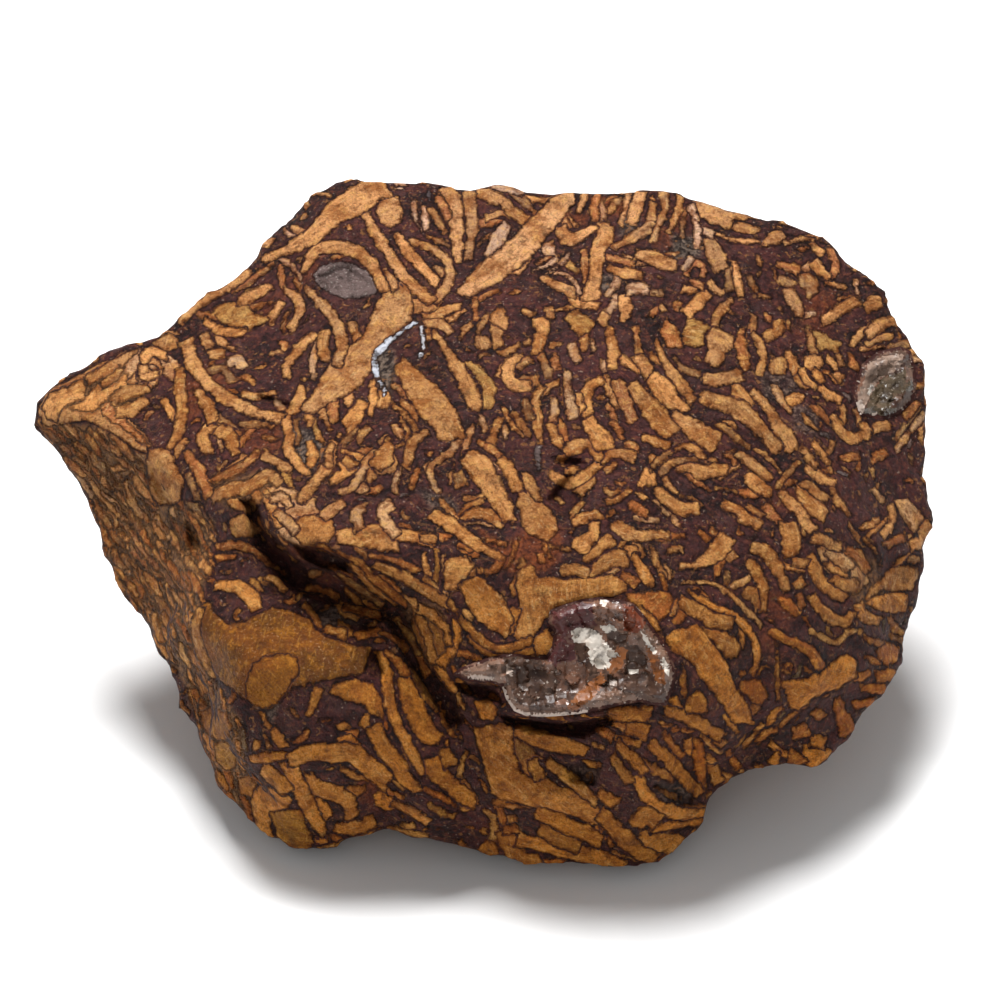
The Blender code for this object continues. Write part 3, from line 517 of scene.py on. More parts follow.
SHELF_RIBBONS = [
    ("gold", (8, 9, 9, 6), ((334, 440), (328, 466), (306, 492), (300, 504))),
    ("gold", (5, 6, 5), ((324, 448), (320, 474), (306, 488))),
    ("gold", (6, 8, 6), ((338, 466), (352, 466), (330, 483))),
    ("pale", (4, 5, 5, 4), ((340, 492), (354, 486), (368, 460), (378, 450))),
    ("pale", (7, 9), ((356, 490), (367, 487))),
    ("gold", (7, 8), ((380, 446), (390, 438))),
    ("gold", (6, 9, 9, 6), ((376, 460), (391, 457), (391, 469), (376, 468))),
    ("pale", (4, 5, 5, 5, 4), ((460, 440), (450, 452), (432, 466), (432, 482), (440, 492))),
    ("pale", (4, 4), ((440, 458), (424, 468))),
    ("dull", (8, 10), ((457, 473), (462, 487))),
    ("pale", (6, 7, 6), ((270, 500), (283, 498), (290, 508))),
    ("pale", (5, 7, 6), ((276, 512), (286, 520), (296, 532))),
    ("gold", (6, 7, 6), ((262, 492), (272, 508), (280, 526))),
    ("pale", (7, 9, 7), ((322, 519), (332, 509), (344, 502))),
    ("pale", (8, 9, 8), ((367, 507), (356, 511), (360, 529))),
    ("pale", (8, 10, 9, 8), ((392, 503), (382, 511), (388, 525), (396, 536))),
    ("gold", (9, 11, 10), ((396, 535), (416, 538), (434, 541))),
    ("rust", (4, 5, 5, 4), ((318, 546), (357, 561), (376, 580), (407, 607))),
    ("gold", (6, 8, 8, 7), ((350, 562), (374, 587), (392, 599), (416, 603))),
    ("gold", (7, 9, 9, 8), ((374, 564), (397, 574), (418, 586), (452, 607))),
    ("rust", (4, 6, 5), ((368, 555), (394, 560), (419, 571))),
    ("dull", (4, 6, 5), ((338, 574), (362, 590), (384, 606))),
    ("rust", (4, 5, 4), ((330, 566), (350, 578), (366, 594))),
    ("rust", (4, 7, 6, 3), ((216, 546), (238, 546), (258, 553), (287, 577))),
    ("rust", (4, 5), ((216, 559), (237, 556))),
    ("gold", (6, 10, 13, 9), ((214, 587), (236, 586), (252, 598), (256, 610))),
    ("rust", (5, 8, 6), ((306, 587), (322, 590), (338, 597))),
    ("rust", (4, 5, 4), ((344, 607), (362, 611), (380, 616))),
    ("gold", (6, 9), ((324, 628), (346, 635))),
    ("rust", (4, 6, 5), ((382, 632), (396, 640), (408, 650))),
    ("dull", (4, 6, 5), ((396, 618), (408, 634), (418, 654))),
    ("pale", (3, 4, 3), ((442, 554), (445, 576), (446, 600))),
    ("gold", (4, 7, 7, 8), ((424, 578), (436, 592), (444, 600), (452, 612))),
    ("gold", (5, 8, 8, 5), ((412, 606), (430, 612), (444, 626), (450, 646))),
    ("gold", (5, 7, 7), ((454, 618), (457, 640), (441, 664))),
    ("gold", (5, 8, 8), ((418, 616), (428, 636), (434, 662))),
    ("gold", (5, 7, 6), ((437, 667), (443, 679), (455, 691))),
    ("rust", (4, 6, 6), ((404, 624), (414, 646), (428, 676))),
    ("rust", (5, 6), ((356, 636), (381, 631))),
    ("rust", (4, 6, 4), ((384, 650), (396, 660), (408, 676))),
    ("dull", (4, 5, 4), ((410, 668), (424, 690), (438, 712))),
]
SHELF_MASSES = [
    ("gold", ((298, 518), (316, 516), (332, 520), (336, 532), (326, 543), (304, 545), (296, 534))),
    ("gold", ((334, 530), (356, 528), (380, 524), (398, 532), (399, 553), (384, 552), (360, 546),
              (338, 544))),
    ("pale", ((262, 490), (276, 486), (302, 492), (314, 500), (320, 520), (316, 542), (302, 548), (286, 540),
              (274, 526), (266, 508))),
    ("gold", ((464, 454), (482, 452), (500, 480), (512, 500), (514, 524), (502, 522), (494, 500),
              (476, 480))),
    ("gold", ((446, 560), (470, 558), (476, 576), (460, 588), (448, 596))),
    ("dull", ((414, 604), (440, 610), (452, 628), (454, 648), (442, 662), (432, 676), (422, 660),
              (412, 632))),
]
LOWER_LEFT_RIBBONS = [
    ("pale", (5, 7, 7, 5), ((201, 608), (196, 630), (201, 652), (214, 678))),
    ("gold", (3, 7, 9), ((308, 715), (314, 703), (319, 688))),
    ("gold", (10, 15, 17, 16, 17, 15), ((288, 760), (309, 753), (330, 753), (349, 753), (367, 765),
                                        (388, 784))),
    ("gold", (6, 8, 6), ((288, 755), (270, 757), (249, 760))),
    ("gold", (9, 10), ((254, 745), (258, 747))),
    ("gold", (5, 10, 9), ((273, 728), (277, 738), (283, 748))),
    ("grey", (3, 4, 3), ((243, 727), (243, 739), (245, 751))),
    ("pale", (4, 5), ((264, 733), (270, 748))),
    ("gold", (9, 14, 10), ((262, 768), (272, 776), (288, 791))),
    ("gold", (10, 13, 13, 12, 9), ((284, 762), (297, 781), (307, 803), (314, 817), (325, 833))),
    ("gold", (8, 12, 9), ((314, 801), (322, 809), (330, 818))),
    ("gold", (9, 12, 13, 13, 9), ((309, 773), (317, 789), (335, 794), (348, 802), (351, 819))),
    ("gold", (9, 11, 10), ((333, 827), (355, 828), (375, 821))),
    ("pale", (4, 6, 4), ((316, 849), (350, 844), (375, 831))),
    ("rust", (4, 5), ((331, 835), (339, 841))),
    ("gold", (6, 9, 7), ((392, 802), (410, 811), (429, 823))),
    ("pale", (4, 5, 4), ((386, 829), (405, 832), (427, 838))),
    ("gold", (14, 15, 14, 13, 8), ((373, 726), (381, 742), (393, 759), (405, 775), (417, 793))),
    ("gold", (8, 10, 9, 9, 8, 7), ((379, 650), (387, 676), (390, 702), (399, 728), (412, 752), (423, 775))),
    ("gold", (3, 5, 5), ((391, 716), (401, 738), (414, 768))),
    ("gold", (9, 10), ((445, 749), (451, 766))),
    ("rust", (3, 5, 4), ((424, 789), (440, 796), (457, 807))),
    ("olive", (5, 8, 6), ((428, 806), (441, 812), (455, 817))),
    ("pale", (2, 3, 2), ((467, 751), (463, 763), (459, 777))),
]
LOWER_LEFT_MASSES = [
    ("amber", ((246, 702), (247, 682), (254, 664), (268, 657), (284, 655), (297, 660), (297, 674), (288, 690),
               (276, 703), (262, 708))),
    ("dull", ((200, 712), (214, 706), (226, 712), (231, 726), (228, 738), (214, 738), (204, 728))),
    ("olive", ((216, 744), (228, 742), (238, 752), (236, 768), (224, 770), (216, 758))),
    ("gold", ((238, 778), (250, 774), (256, 786), (252, 796), (240, 794))),
    ("granular", ((200, 606), (209, 602), (213, 612), (220, 620), (228, 624), (246, 622), (258, 614),
                  (274, 608), (290, 612), (310, 618), (316, 630), (330, 638), (350, 644), (371, 648),
                  (366, 662), (364, 671), (357, 676), (342, 676), (322, 680), (306, 684), (294, 688),
                  (282, 698), (272, 708), (258, 709), (246, 702), (238, 694), (230, 686), (216, 678),
                  (206, 666), (200, 650), (195, 630))),
    ("gold", ((328, 693), (336, 684), (354, 679), (372, 684), (381, 698), (383, 719), (375, 714), (362, 704),
              (346, 700))),
    ("gold", ((332, 724), (346, 721), (350, 728), (340, 731))),
    ("gold", ((336, 738), (350, 735), (359, 744), (352, 750), (340, 748))),
    ("olive", ((272, 814), (290, 810), (303, 811), (305, 826), (315, 842), (310, 852), (290, 849),
               (276, 835))),
    ("gold", ((252, 790), (264, 786), (282, 792), (291, 802), (288, 808), (272, 812), (270, 824), (274, 836),
              (287, 849), (270, 843), (258, 830), (253, 815))),
    ("gold", ((374, 796), (382, 792), (394, 798), (396, 808), (384, 811), (376, 803))),
    ("gold", ((399, 680), (411, 676), (422, 702), (436, 728), (443, 734), (437, 746), (424, 744), (411, 726),
              (403, 708), (400, 694))),
    ("gold", ((424, 760), (438, 757), (448, 770), (460, 783), (474, 794), (474, 809), (458, 802), (444, 790),
              (428, 778), (422, 770))),
]
LOWER_FRONT_RIBBONS = [
    ("gold", (9, 14, 14, 10), ((516, 730), (536, 737), (560, 745), (588, 752))),
    ("olive", (8, 11, 8), ((532, 758), (536, 768), (540, 778))),
    ("pale", (8, 11, 10, 6), ((545, 760), (562, 773), (580, 787), (596, 802))),
    ("gold", (10, 15, 14, 10), ((600, 814), (620, 834), (636, 850), (656, 860))),
    ("gold", (9, 10), ((598, 792), (616, 803))),
    ("gold", (10, 13, 12), ((536, 813), (564, 823), (601, 841))),
    ("gold", (9, 15, 14), ((538, 829), (558, 837), (580, 845))),
    ("rust", (5, 6), ((504, 830), (517, 828))),
    ("gold", (10, 14, 13, 12), ((518, 839), (558, 848), (596, 858), (626, 868))),
    ("gold", (12, 17, 17, 14), ((505, 833), (512, 848), (521, 862), (541, 864))),
    ("gold", (10, 15, 10), ((482, 846), (488, 850), (496, 856))),
    ("pale", (3, 4, 4, 3), ((483, 810), (492, 818), (495, 834), (489, 844))),
    ("gold", (10, 20, 14), ((450, 778), (460, 792), (471, 808))),
    ("gold", (13, 16, 14), ((636, 826), (645, 816), (658, 822))),
    ("gold", (4, 5, 4), ((652, 829), (678, 825), (708, 820))),
    ("pale", (3, 3), ((612, 853), (640, 861))),
    ("gold", (6, 9, 8), ((618, 743), (630, 756), (646, 773))),
    ("gold", (6, 8), ((612, 755), (629, 783))),
    ("gold", (8, 11, 11, 9), ((651, 744), (668, 760), (684, 777), (700, 794))),
    ("gold", (8, 9, 7), ((640, 763), (656, 770), (674, 778))),
    ("gold", (9, 11, 11, 12, 12), ((637, 777), (647, 796), (664, 809), (686, 815), (709, 817))),
    ("rust", (6, 10, 9, 6), ((698, 740), (699, 757), (701, 774), (702, 792))),
    ("rust", (4, 6, 5), ((664, 733), (672, 744), (683, 757))),
    ("gold", (6, 9, 8), ((687, 738), (688, 746), (689, 755))),
    ("gold", (6, 10, 9), ((708, 755), (713, 768), (719, 784))),
    ("gold", (8, 11), ((720, 775), (738, 784))),
    ("gold", (4, 5, 4), ((650, 830), (676, 826), (705, 820))),
    ("gold", (10, 11, 9), ((640, 820), (650, 817), (662, 820))),
    ("gold", (13, 16, 15, 16, 12), ((640, 836), (651, 845), (668, 840), (679, 847), (668, 858))),
    ("rust", (7, 8), ((658, 865), (674, 852))),
    ("gold", (11, 12), ((608, 713), (651, 714))),
    ("gold", (10, 13), ((628, 728), (648, 733))),
    ("gold", (8, 11, 10), ((664, 711), (690, 718), (723, 738))),
    ("gold", (9, 10), ((716, 739), (725, 746))),
    ("gold", (6, 7), ((673, 698), (681, 713))),
    ("dull", (3, 4, 3), ((655, 786), (664, 792), (677, 797))),
    ("rust", (6, 8), ((596, 728), (612, 738))),
]
LOWER_FRONT_MASSES = [
    ("gold", ((474, 702), (488, 700), (498, 711), (491, 720), (480, 718))),
    ("gold", ((474, 728), (500, 724), (511, 728), (513, 752), (522, 774), (534, 781), (550, 779), (558, 788),
              (578, 790), (588, 800), (600, 812), (600, 824), (588, 822), (562, 813), (536, 808), (500, 798),
              (492, 792), (486, 770), (480, 750))),
    ("dull", ((512, 736), (530, 748), (544, 760), (548, 778), (536, 784), (524, 772), (516, 754))),
]

# Kinds of fragment: a shade as it is seen in daylight, and how far single pieces stray from it.
KINDS = {
    "gold": ((0.785, 0.540, 0.300), 0.13),
    "pale": ((0.810, 0.620, 0.430), 0.08),
    "rust": ((0.680, 0.405, 0.215), 0.08),
    "dull": ((0.560, 0.395, 0.235), 0.12),
    "olive": ((0.670, 0.490, 0.240), 0.05),
    "granular": ((0.440, 0.250, 0.040), 0.05),
    "amber": ((0.600, 0.390, 0.100), 0.04),
    "grey": ((0.440, 0.365, 0.335), 0.05),
    "white": ((0.860, 0.840, 0.820), 0.03),
}
# Painted light: down the picture the fragments turn from paler, a painted sheen of the light overhead, to
# deeper, painted shade towards the foot. Heights in the picture, and what red, green and blue are scaled by
# at each. Grey and white ones never turn paler than at the second height, and the granular mass has that
# height's tone.
LIGHT_FALL_HEIGHTS = (230.0, 400.0, 520.0, 680.0)
LIGHT_FALL_SCALES = ((1.08, 1.02, 0.98, 0.98), (1.13, 1.03, 0.97, 0.88), (1.35, 1.08, 0.98, 0.54))


def linear(shade):
    """A shade as light, from the way it is written for a screen."""
    return [part / 12.92 if part < 0.04045 else ((part + 0.055) / 1.055) ** 2.4 for part in shade]


def smooth_step(values, low, high):
    """Zero below the low value, one above the high one, eased in between."""
    share = np.clip((values - low) / (high - low), 0.0, 1.0)
    return share * share * (3.0 - 2.0 * share)


def rounded_line(points, widths, steps=4):
    """A line bent smoothly through its points, with a width for each of its own points."""
    points = np.array(points, float)
    stops = np.linspace(0, len(points) - 1, (len(points) - 1) * steps + 1)
    spots = []
    for stop in stops:
        i = min(int(stop), len(points) - 2)
        t = stop - i
        a = points[max(i - 1, 0)]
        b = points[i]
        c = points[i + 1]
        d = points[min(i + 2, len(points) - 1)]
        spots.append(0.5 * (2 * b + (c - a) * t + (2 * a - 5 * b + 4 * c - d) * t * t
                            + (3 * b - a - 3 * c + d) * t * t * t))
    given = np.linspace(0, len(points) - 1, len(widths))
    return np.array(spots), np.interp(stops, given, widths)


def ribbon_field(places, points, widths, slant):
    """How far inside a ribbon each place lies, how far along it and how far across."""
    line, wide = rounded_line(points, widths)
    nearest = np.full(len(places), np.inf)
    inside = np.zeros(len(places))
    along = np.zeros(len(places))
    across = np.zeros(len(places))
    start = 0.0
    last = len(line) - 2
    for i in range(len(line) - 1):
        step = line[i + 1] - line[i]
        length = max(float(np.hypot(*step)), 1e-6)
        way = step / length
        offset = places - line[i]
        ahead = offset @ way
        side = offset[:, 1] * way[0] - offset[:, 0] * way[1]
        held = np.clip(ahead, 0.0, length)
        gap = np.hypot(ahead - held, side)
        half = 0.5 * (wide[i] + (wide[i + 1] - wide[i]) * held / length)
        depth = half - np.where((ahead < 0) & (i > 0) | (ahead > length) & (i < last), gap, np.abs(side))
        if i == 0:
            depth = np.minimum(depth, ahead + slant * side)
        if i == last:
            depth = np.minimum(depth, length - ahead + slant * side)
        closer = gap < nearest
        nearest[closer] = gap[closer]
        inside[closer] = depth[closer]
        along[closer] = start + ahead[closer]
        across[closer] = side[closer]
        start += length
    return inside, along, across


def mass_field(places, outline, turn):
    """How far inside an outline each place lies, and its two coordinates along the grain."""
    corners = np.array(outline, float)
    nearest = np.full(len(places), np.inf)
    within = np.zeros(len(places), bool)
    for a, b in zip(corners, np.roll(corners, -1, axis=0)):
        step = b - a
        share = np.clip(((places - a) @ step) / (step @ step), 0.0, 1.0)
        gap = np.hypot(*(places - a - share[:, None] * step).T)
        nearest = np.minimum(nearest, gap)
        crosses = (a[1] > places[:, 1]) != (b[1] > places[:, 1])
        if a[1] != b[1]:
            within ^= crosses & (places[:, 0] < a[0] + (places[:, 1] - a[1]) * step[0] / (b[1] - a[1]))
    away = places - corners.mean(axis=0)
    along = away[:, 0] * math.cos(turn) + away[:, 1] * math.sin(turn)
    across = away[:, 1] * math.cos(turn) - away[:, 0] * math.sin(turn)
    return np.where(within, nearest, -nearest), along, across


# The skin is finest where the picture sees it, breaks into small uneven faces, and sinks where the picture
# shows clefts: how deep each is, in millimetres, and its outline.
ROCK_VOXEL = 0.465 * MM
FINE_FROM = 0.12
CLEFT_EASE = (-1.5, 6.0)
CLEFTS = [
    (1.9, ((240, 500), (256, 500), (268, 528), (288, 550), (308, 566), (316, 590), (292, 590), (270, 572),
           (252, 548), (246, 522))),
    (2.1, ((294, 545), (322, 546), (336, 553), (352, 562), (348, 574), (318, 570), (302, 560))),
    (1.1, ((284, 556), (340, 562), (384, 590), (412, 612), (404, 624), (372, 620), (330, 606), (296, 592))),
    (0.6, ((306, 600), (350, 612), (378, 622), (372, 634), (330, 626), (308, 614))),
    (1.2, ((384, 612), (412, 618), (430, 660), (452, 690), (466, 722), (448, 728), (428, 700), (402, 656))),
    (0.9, ((366, 648), (380, 650), (386, 676), (376, 680), (364, 670))),
    (1.6, ((498, 714), (560, 722), (612, 714), (616, 722), (584, 738), (530, 732), (506, 724))),
    (1.3, ((454, 681), (486, 683), (500, 692), (504, 704), (484, 700), (460, 692))),
    (0.8, ((652, 782), (668, 780), (684, 792), (700, 800), (690, 806), (668, 800))),
    (0.7, ((560, 480), (572, 470), (580, 500), (566, 520), (545, 500))),
    (0.6, ((548, 455), (580, 458), (590, 464), (572, 472), (556, 468))),
    (0.7, ((566, 762), (602, 766), (596, 786), (570, 782))),
    (0.6, ((256, 392), (292, 402), (300, 412), (276, 408), (254, 400))),
    (0.4, ((314, 276), (346, 262), (376, 284), (364, 296), (332, 294))),
    (0.7, ((150, 462), (166, 486), (176, 506), (160, 506), (150, 488))),
    (0.7, ((186, 520), (204, 540), (200, 566), (186, 548))),
]

rock = bpy.data.objects.new("rock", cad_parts["stone"].data.copy())
rock.data.materials.clear()
bpy.context.scene.collection.objects.link(rock)
bpy.context.view_layer.objects.active = rock
skin = bmesh.new()
skin.from_mesh(rock.data)
bmesh.ops.remove_doubles(skin, verts=skin.verts, dist=0.001 * MM)
skin.to_mesh(rock.data)
skin.free()
remesh = rock.modifiers.new("even skin", "REMESH")
remesh.mode = "VOXEL"
remesh.voxel_size = ROCK_VOXEL
bpy.ops.object.modifier_apply(modifier=remesh.name)


def ease_skin(rounds):
    """Take the steps out of the rock's skin."""
    ease = rock.modifiers.new("ease", "SMOOTH")
    ease.iterations = rounds
    ease.factor = 0.5
    bpy.ops.object.modifier_apply(modifier=ease.name)


def facing_eye(places, normals):
    """How squarely each place faces the camera, from -1 to 1."""
    towards = np.array(eye) - places
    towards /= np.linalg.norm(towards, axis=1)[:, None]
    return np.einsum("ij,ij->i", towards, normals)


def vertex_arrays(mesh):
    """The places and the normals of a mesh's vertices."""
    places = np.empty(len(mesh.vertices) * 3)
    normals = np.empty(len(mesh.vertices) * 3)
    mesh.vertices.foreach_get("co", places)
    mesh.vertex_normals.foreach_get("vector", normals)
    return places.reshape(-1, 3), normals.reshape(-1, 3)


ease_skin(8)
is_fine = facing_eye(*vertex_arrays(rock.data)) > FINE_FROM
skin = bmesh.new()
skin.from_mesh(rock.data)
fine_edges = [edge for edge in skin.edges if all(is_fine[corner.index] for corner in edge.verts)]
bmesh.ops.subdivide_edges(skin, edges=fine_edges, cuts=1, use_grid_fill=True, smooth=0.0)
bmesh.ops.triangulate(skin, faces=skin.faces)
skin.to_mesh(rock.data)
skin.free()
ease_skin(2)

# Broken stone: broad lumps, small chips and a fine tooth, then the clefts, pressed in away from the eye. Each
# roughness is how far apart its lumps are, and how high.
ROUGHNESS_OCTAVES = ((5.0 * MM, 0.18 * MM), (1.9 * MM, 0.15 * MM), (0.8 * MM, 0.08 * MM))
places, normals = vertex_arrays(rock.data)
rise = np.zeros(len(places))
for size, height in ROUGHNESS_OCTAVES:
    rise += [height * noise.noise(Vector(place) / size) for place in places]
places += normals * rise[:, None]
seen_at = picture_places(places)
is_near = facing_eye(places, normals) > 0.0
pressed = np.zeros(len(places))
for depth, outline in CLEFTS:
    inside, along, across = mass_field(seen_at, outline, 0.0)
    pressed = np.maximum(pressed, depth * MM * smooth_step(inside, *CLEFT_EASE) * is_near)
places -= pressed[:, None] * np.array(towards_eye)
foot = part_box("stone")[0].z
places[:, 2] = np.maximum(places[:, 2], foot)
rock.data.vertices.foreach_set("co", places.ravel())
rock.data.update()

# Every face keeps the two topmost fragments that reach it, so that the dark rim between them stays sharp. A
# fragment reaches every face with a corner less than the edge reach away from it, in pixels. The seen side
# takes the fragments above; the rest of the stone takes ribbons scattered in the same way.
EDGE_REACH = 2.2
RIBBON_SPREAD = 1.10
RIBBON_EXTRA = 0.5
END_SLANT = 0.4
BOX_REACH = 6.0
SEEN_FROM = 0.22
NOTHING = -99.0
SCATTER_SEED = 11
draw = random.Random(SCATTER_SEED)
places, normals = vertex_arrays(rock.data)
seen_at = picture_places(places)
corners = np.empty(len(rock.data.loops), int)
rock.data.loops.foreach_get("vertex_index", corners)
corners = corners.reshape(-1, 3)
squareness = facing_eye(places, normals)
on_seen_side = squareness[corners].mean(axis=1) > SEEN_FROM
fields = {layer: np.full((len(corners), 3, 3), NOTHING) for layer in ("upper", "lower")}
colours = {layer: np.zeros((len(corners), 3)) for layer in ("upper", "lower")}
topmost = np.full(len(places), NOTHING)
values = np.zeros((len(places), 3))
touching_faces = np.argsort(corners.ravel(), kind="stable") // 3
face_starts = np.searchsorted(np.sort(corners.ravel()), np.arange(len(places) + 1))


def faces_around(vertices):
    """The faces that have one of the vertices as a corner."""
    first = face_starts[vertices]
    count = face_starts[vertices + 1] - first
    order = np.arange(count.sum()) - np.repeat(np.cumsum(count) - count, count) + np.repeat(first, count)
    return np.unique(touching_faces[order])


def one_kind(shares):
    """One kind of fragment, drawn by the shares of the kinds."""
    return draw.choices(list(shares), list(shares.values()))[0]


def fragment_colour(kind, height):
    """A fragment's colour at its picture height: painted sheen near the top, painted shade near the foot."""
    own_shade, stray = KINDS[kind]
    lighter = 1.0 + draw.uniform(-stray, stray)
    redder = draw.uniform(-0.02, 0.02)
    if kind in ("grey", "white"):
        height = max(height, LIGHT_FALL_HEIGHTS[1])
    if kind == "granular":
        height = LIGHT_FALL_HEIGHTS[1]
    scales = [np.interp(height, LIGHT_FALL_HEIGHTS, row) for row in LIGHT_FALL_SCALES]
    red, green, blue = (part * lighter * scale for part, scale in zip(own_shade, scales))
    return linear([min(1.0, red + redder), green, max(0.02, blue - redder)])


def lay_fragment(kind, vertices, field, allowed):
    """Give a fragment to the faces it reaches, under the ones that are there already."""
    inside, along, across = field
    close = vertices[inside > -EDGE_REACH]
    reached = faces_around(close)
    reached = reached[allowed[reached]]
    if len(reached) == 0:
        return
    values[:] = (-EDGE_REACH, 0.0, 0.0)
    values[vertices] = np.stack([inside, along, across], axis=1)
    held = np.unique(corners[reached])
    topmost[held] = np.maximum(topmost[held], values[held, 0])
    colour = fragment_colour(kind, seen_at[close, 1].mean())
    for layer in ("upper", "lower"):
        free = fields[layer][reached, :, 0].max(axis=1) == NOTHING
        chosen = reached[free]
        fields[layer][chosen] = values[corners[chosen]]
        colours[layer][chosen] = colour
        covered = fields[layer][reached, :, 0].min(axis=1) > 0.0
        reached = reached[~free & ~covered]


def seen_near(line, reach):
    """The vertices that are seen within reach of the box around a line."""
    line = np.array(line, float)
    near = (seen_at > line.min(axis=0) - reach) & (seen_at < line.max(axis=0) + reach)
    return np.flatnonzero(near.all(axis=1))


def lay_seen_ribbon(kind, widths, points):
    """Lay a ribbon that was read from the picture."""
    vertices = seen_near(points, max(widths) + BOX_REACH)
    wider = [width * RIBBON_SPREAD + RIBBON_EXTRA for width in widths]
    field = ribbon_field(seen_at[vertices], points, wider, draw.uniform(-END_SLANT, END_SLANT))
    lay_fragment(kind, vertices, field, on_seen_side)


def lay_seen_mass(kind, outline):
    """Lay a mass that was read from the picture."""
    vertices = seen_near(outline, BOX_REACH)
    lay_fragment(kind, vertices, mass_field(seen_at[vertices], outline, draw.uniform(0.0, 3.0)), on_seen_side)


REGIONS = (
    (TOP_LEFT_RIBBONS, TOP_LEFT_MASSES), (LEFT_TIP_RIBBONS, LEFT_TIP_MASSES),
    (TOP_MIDDLE_RIBBONS, TOP_MIDDLE_MASSES), (TOP_RIGHT_RIBBONS, TOP_RIGHT_MASSES),
    (MIDDLE_RIBBONS, MIDDLE_MASSES), (RIGHT_RIBBONS, RIGHT_MASSES), (SHELF_RIBBONS, SHELF_MASSES),
    (LOWER_LEFT_RIBBONS, LOWER_LEFT_MASSES), (LOWER_FRONT_RIBBONS, LOWER_FRONT_MASSES),
)
for ribbons, masses in REGIONS:
    for ribbon in ribbons:
        lay_seen_ribbon(*ribbon)
    for mass in masses:
        lay_seen_mass(*mass)


def is_in_round(x, y, rounds):
    """Whether a place lies in one of some ellipses, each given by its middle and its two half widths."""
    return any(((x - bx) / rx) ** 2 + ((y - by) / ry) ** 2 < 1.0 for bx, by, rx, ry in rounds)


def bent_line(x, y, turn, reach, bend):
    """Three points of a line through a place, with its middle bent to the side."""
    way = (math.cos(turn), math.sin(turn))
    return ((x - way[0] * reach, y - way[1] * reach), (x + way[1] * bend, y - way[0] * bend),
            (x + way[0] * reach, y + way[1] * reach))


# The steep left face is packed with thin fibres that run down and to the right. They steepen down the face to
# the foot slope, in degrees, and leave the gaps free.
FIBRE_FIELD = ((40, 425), (62, 424), (100, 428), (146, 462), (152, 506), (188, 506), (214, 520), (210, 560),
               (200, 600), (194, 640), (214, 684), (240, 720), (246, 770), (250, 830), (225, 800), (205, 745),
               (185, 685), (150, 625), (115, 580), (92, 500), (60, 450))
FIBRES = 1000
FIBRE_TOP = 430
FIBRE_FOOT = 680
TOP_SLOPE = 46
FOOT_SLOPE = 68
FIBRE_KINDS = {"rust": 3, "dull": 3, "gold": 5, "pale": 1}
FIBRE_GAPS = ((166, 512, 9, 12), (157, 548, 9, 17), (127, 478, 10, 9), (84, 436, 16, 8), (66, 420, 9, 6),
              (180, 560, 8, 14), (140, 520, 5, 12), (186, 612, 7, 18), (172, 640, 6, 12), (232, 742, 7, 18),
              (216, 708, 6, 12), (240, 800, 8, 12))
for i in range(FIBRES):
    spot = np.array([[draw.uniform(38, 250), draw.uniform(424, 832)]])
    x, y = spot[0]
    if is_in_round(x, y, FIBRE_GAPS) or mass_field(spot, FIBRE_FIELD, 0.0)[0][0] < 0:
        continue
    if y < FIBRE_FOOT:
        steeper = (FOOT_SLOPE - TOP_SLOPE) * (y - FIBRE_TOP) / (FIBRE_FOOT - FIBRE_TOP)
        slope = TOP_SLOPE + steeper + draw.uniform(-9, 9)
    else:
        slope = FOOT_SLOPE + draw.uniform(-8, 8)
    line = bent_line(x, y, math.radians(slope), draw.uniform(8, 24), draw.uniform(-4, 4))
    kind = one_kind(FIBRE_KINDS)
    lay_seen_ribbon(kind, (2, draw.uniform(3.5, 7.5), 2), line)

# Mid-size fragments fill the gaps between the ones above. They lie as the nearest ones lie, slip under them,
# and keep out of the places where the picture shows bare ground.
FILLERS = 1500
FILLER_SEEN_FROM = 0.15
FILLER_OVERLAP = 0.30
FILLER_CORNERS = 6
FILLER_KINDS = {"gold": 6, "rust": 3, "dull": 2.5, "pale": 1.2, "olive": 0.3}
BARE = (
    (264, 346, 34, 30), (350, 276, 38, 26), (300, 262, 12, 8), (322, 324, 10, 14), (392, 362, 12, 16),
    (155, 424, 20, 16), (344, 236, 30, 14), (350, 200, 30, 10), (420, 188, 14, 8),
    (318, 205, 16, 18), (575, 243, 18, 10), (562, 345, 16, 14), (546, 470, 16, 30), (632, 318, 18, 14),
    (655, 505, 20, 14), (775, 288, 30, 22), (765, 330, 14, 20), (872, 474, 34, 30), (850, 262, 14, 18),
    (700, 522, 22, 12), (782, 655, 24, 28), (852, 640, 20, 14), (300, 716, 34, 20), (464, 770, 10, 26),
    (545, 728, 40, 10), (648, 622, 14, 12), (244, 566, 32, 14), (232, 606, 22, 10), (600, 655, 80, 60),
    (418, 505, 26, 22), (500, 596, 14, 20), (700, 700, 14, 8), (810, 560, 10, 8), (884, 384, 34, 38),
    (436, 410, 22, 24), (410, 340, 16, 16), (340, 316, 16, 14), (585, 775, 24, 12), (440, 832, 34, 12),
    (806, 302, 28, 26), (858, 304, 18, 30), (884, 440, 26, 20), (772, 240, 20, 10), (330, 562, 40, 12),
)
directions = []
for ribbons, masses in REGIONS:
    for kind, widths, points in ribbons:
        for (x, y), (next_x, next_y) in zip(points, points[1:]):
            directions.append(((x + next_x) / 2, (y + next_y) / 2, math.atan2(next_y - y, next_x - x)))
directions = np.array(directions)
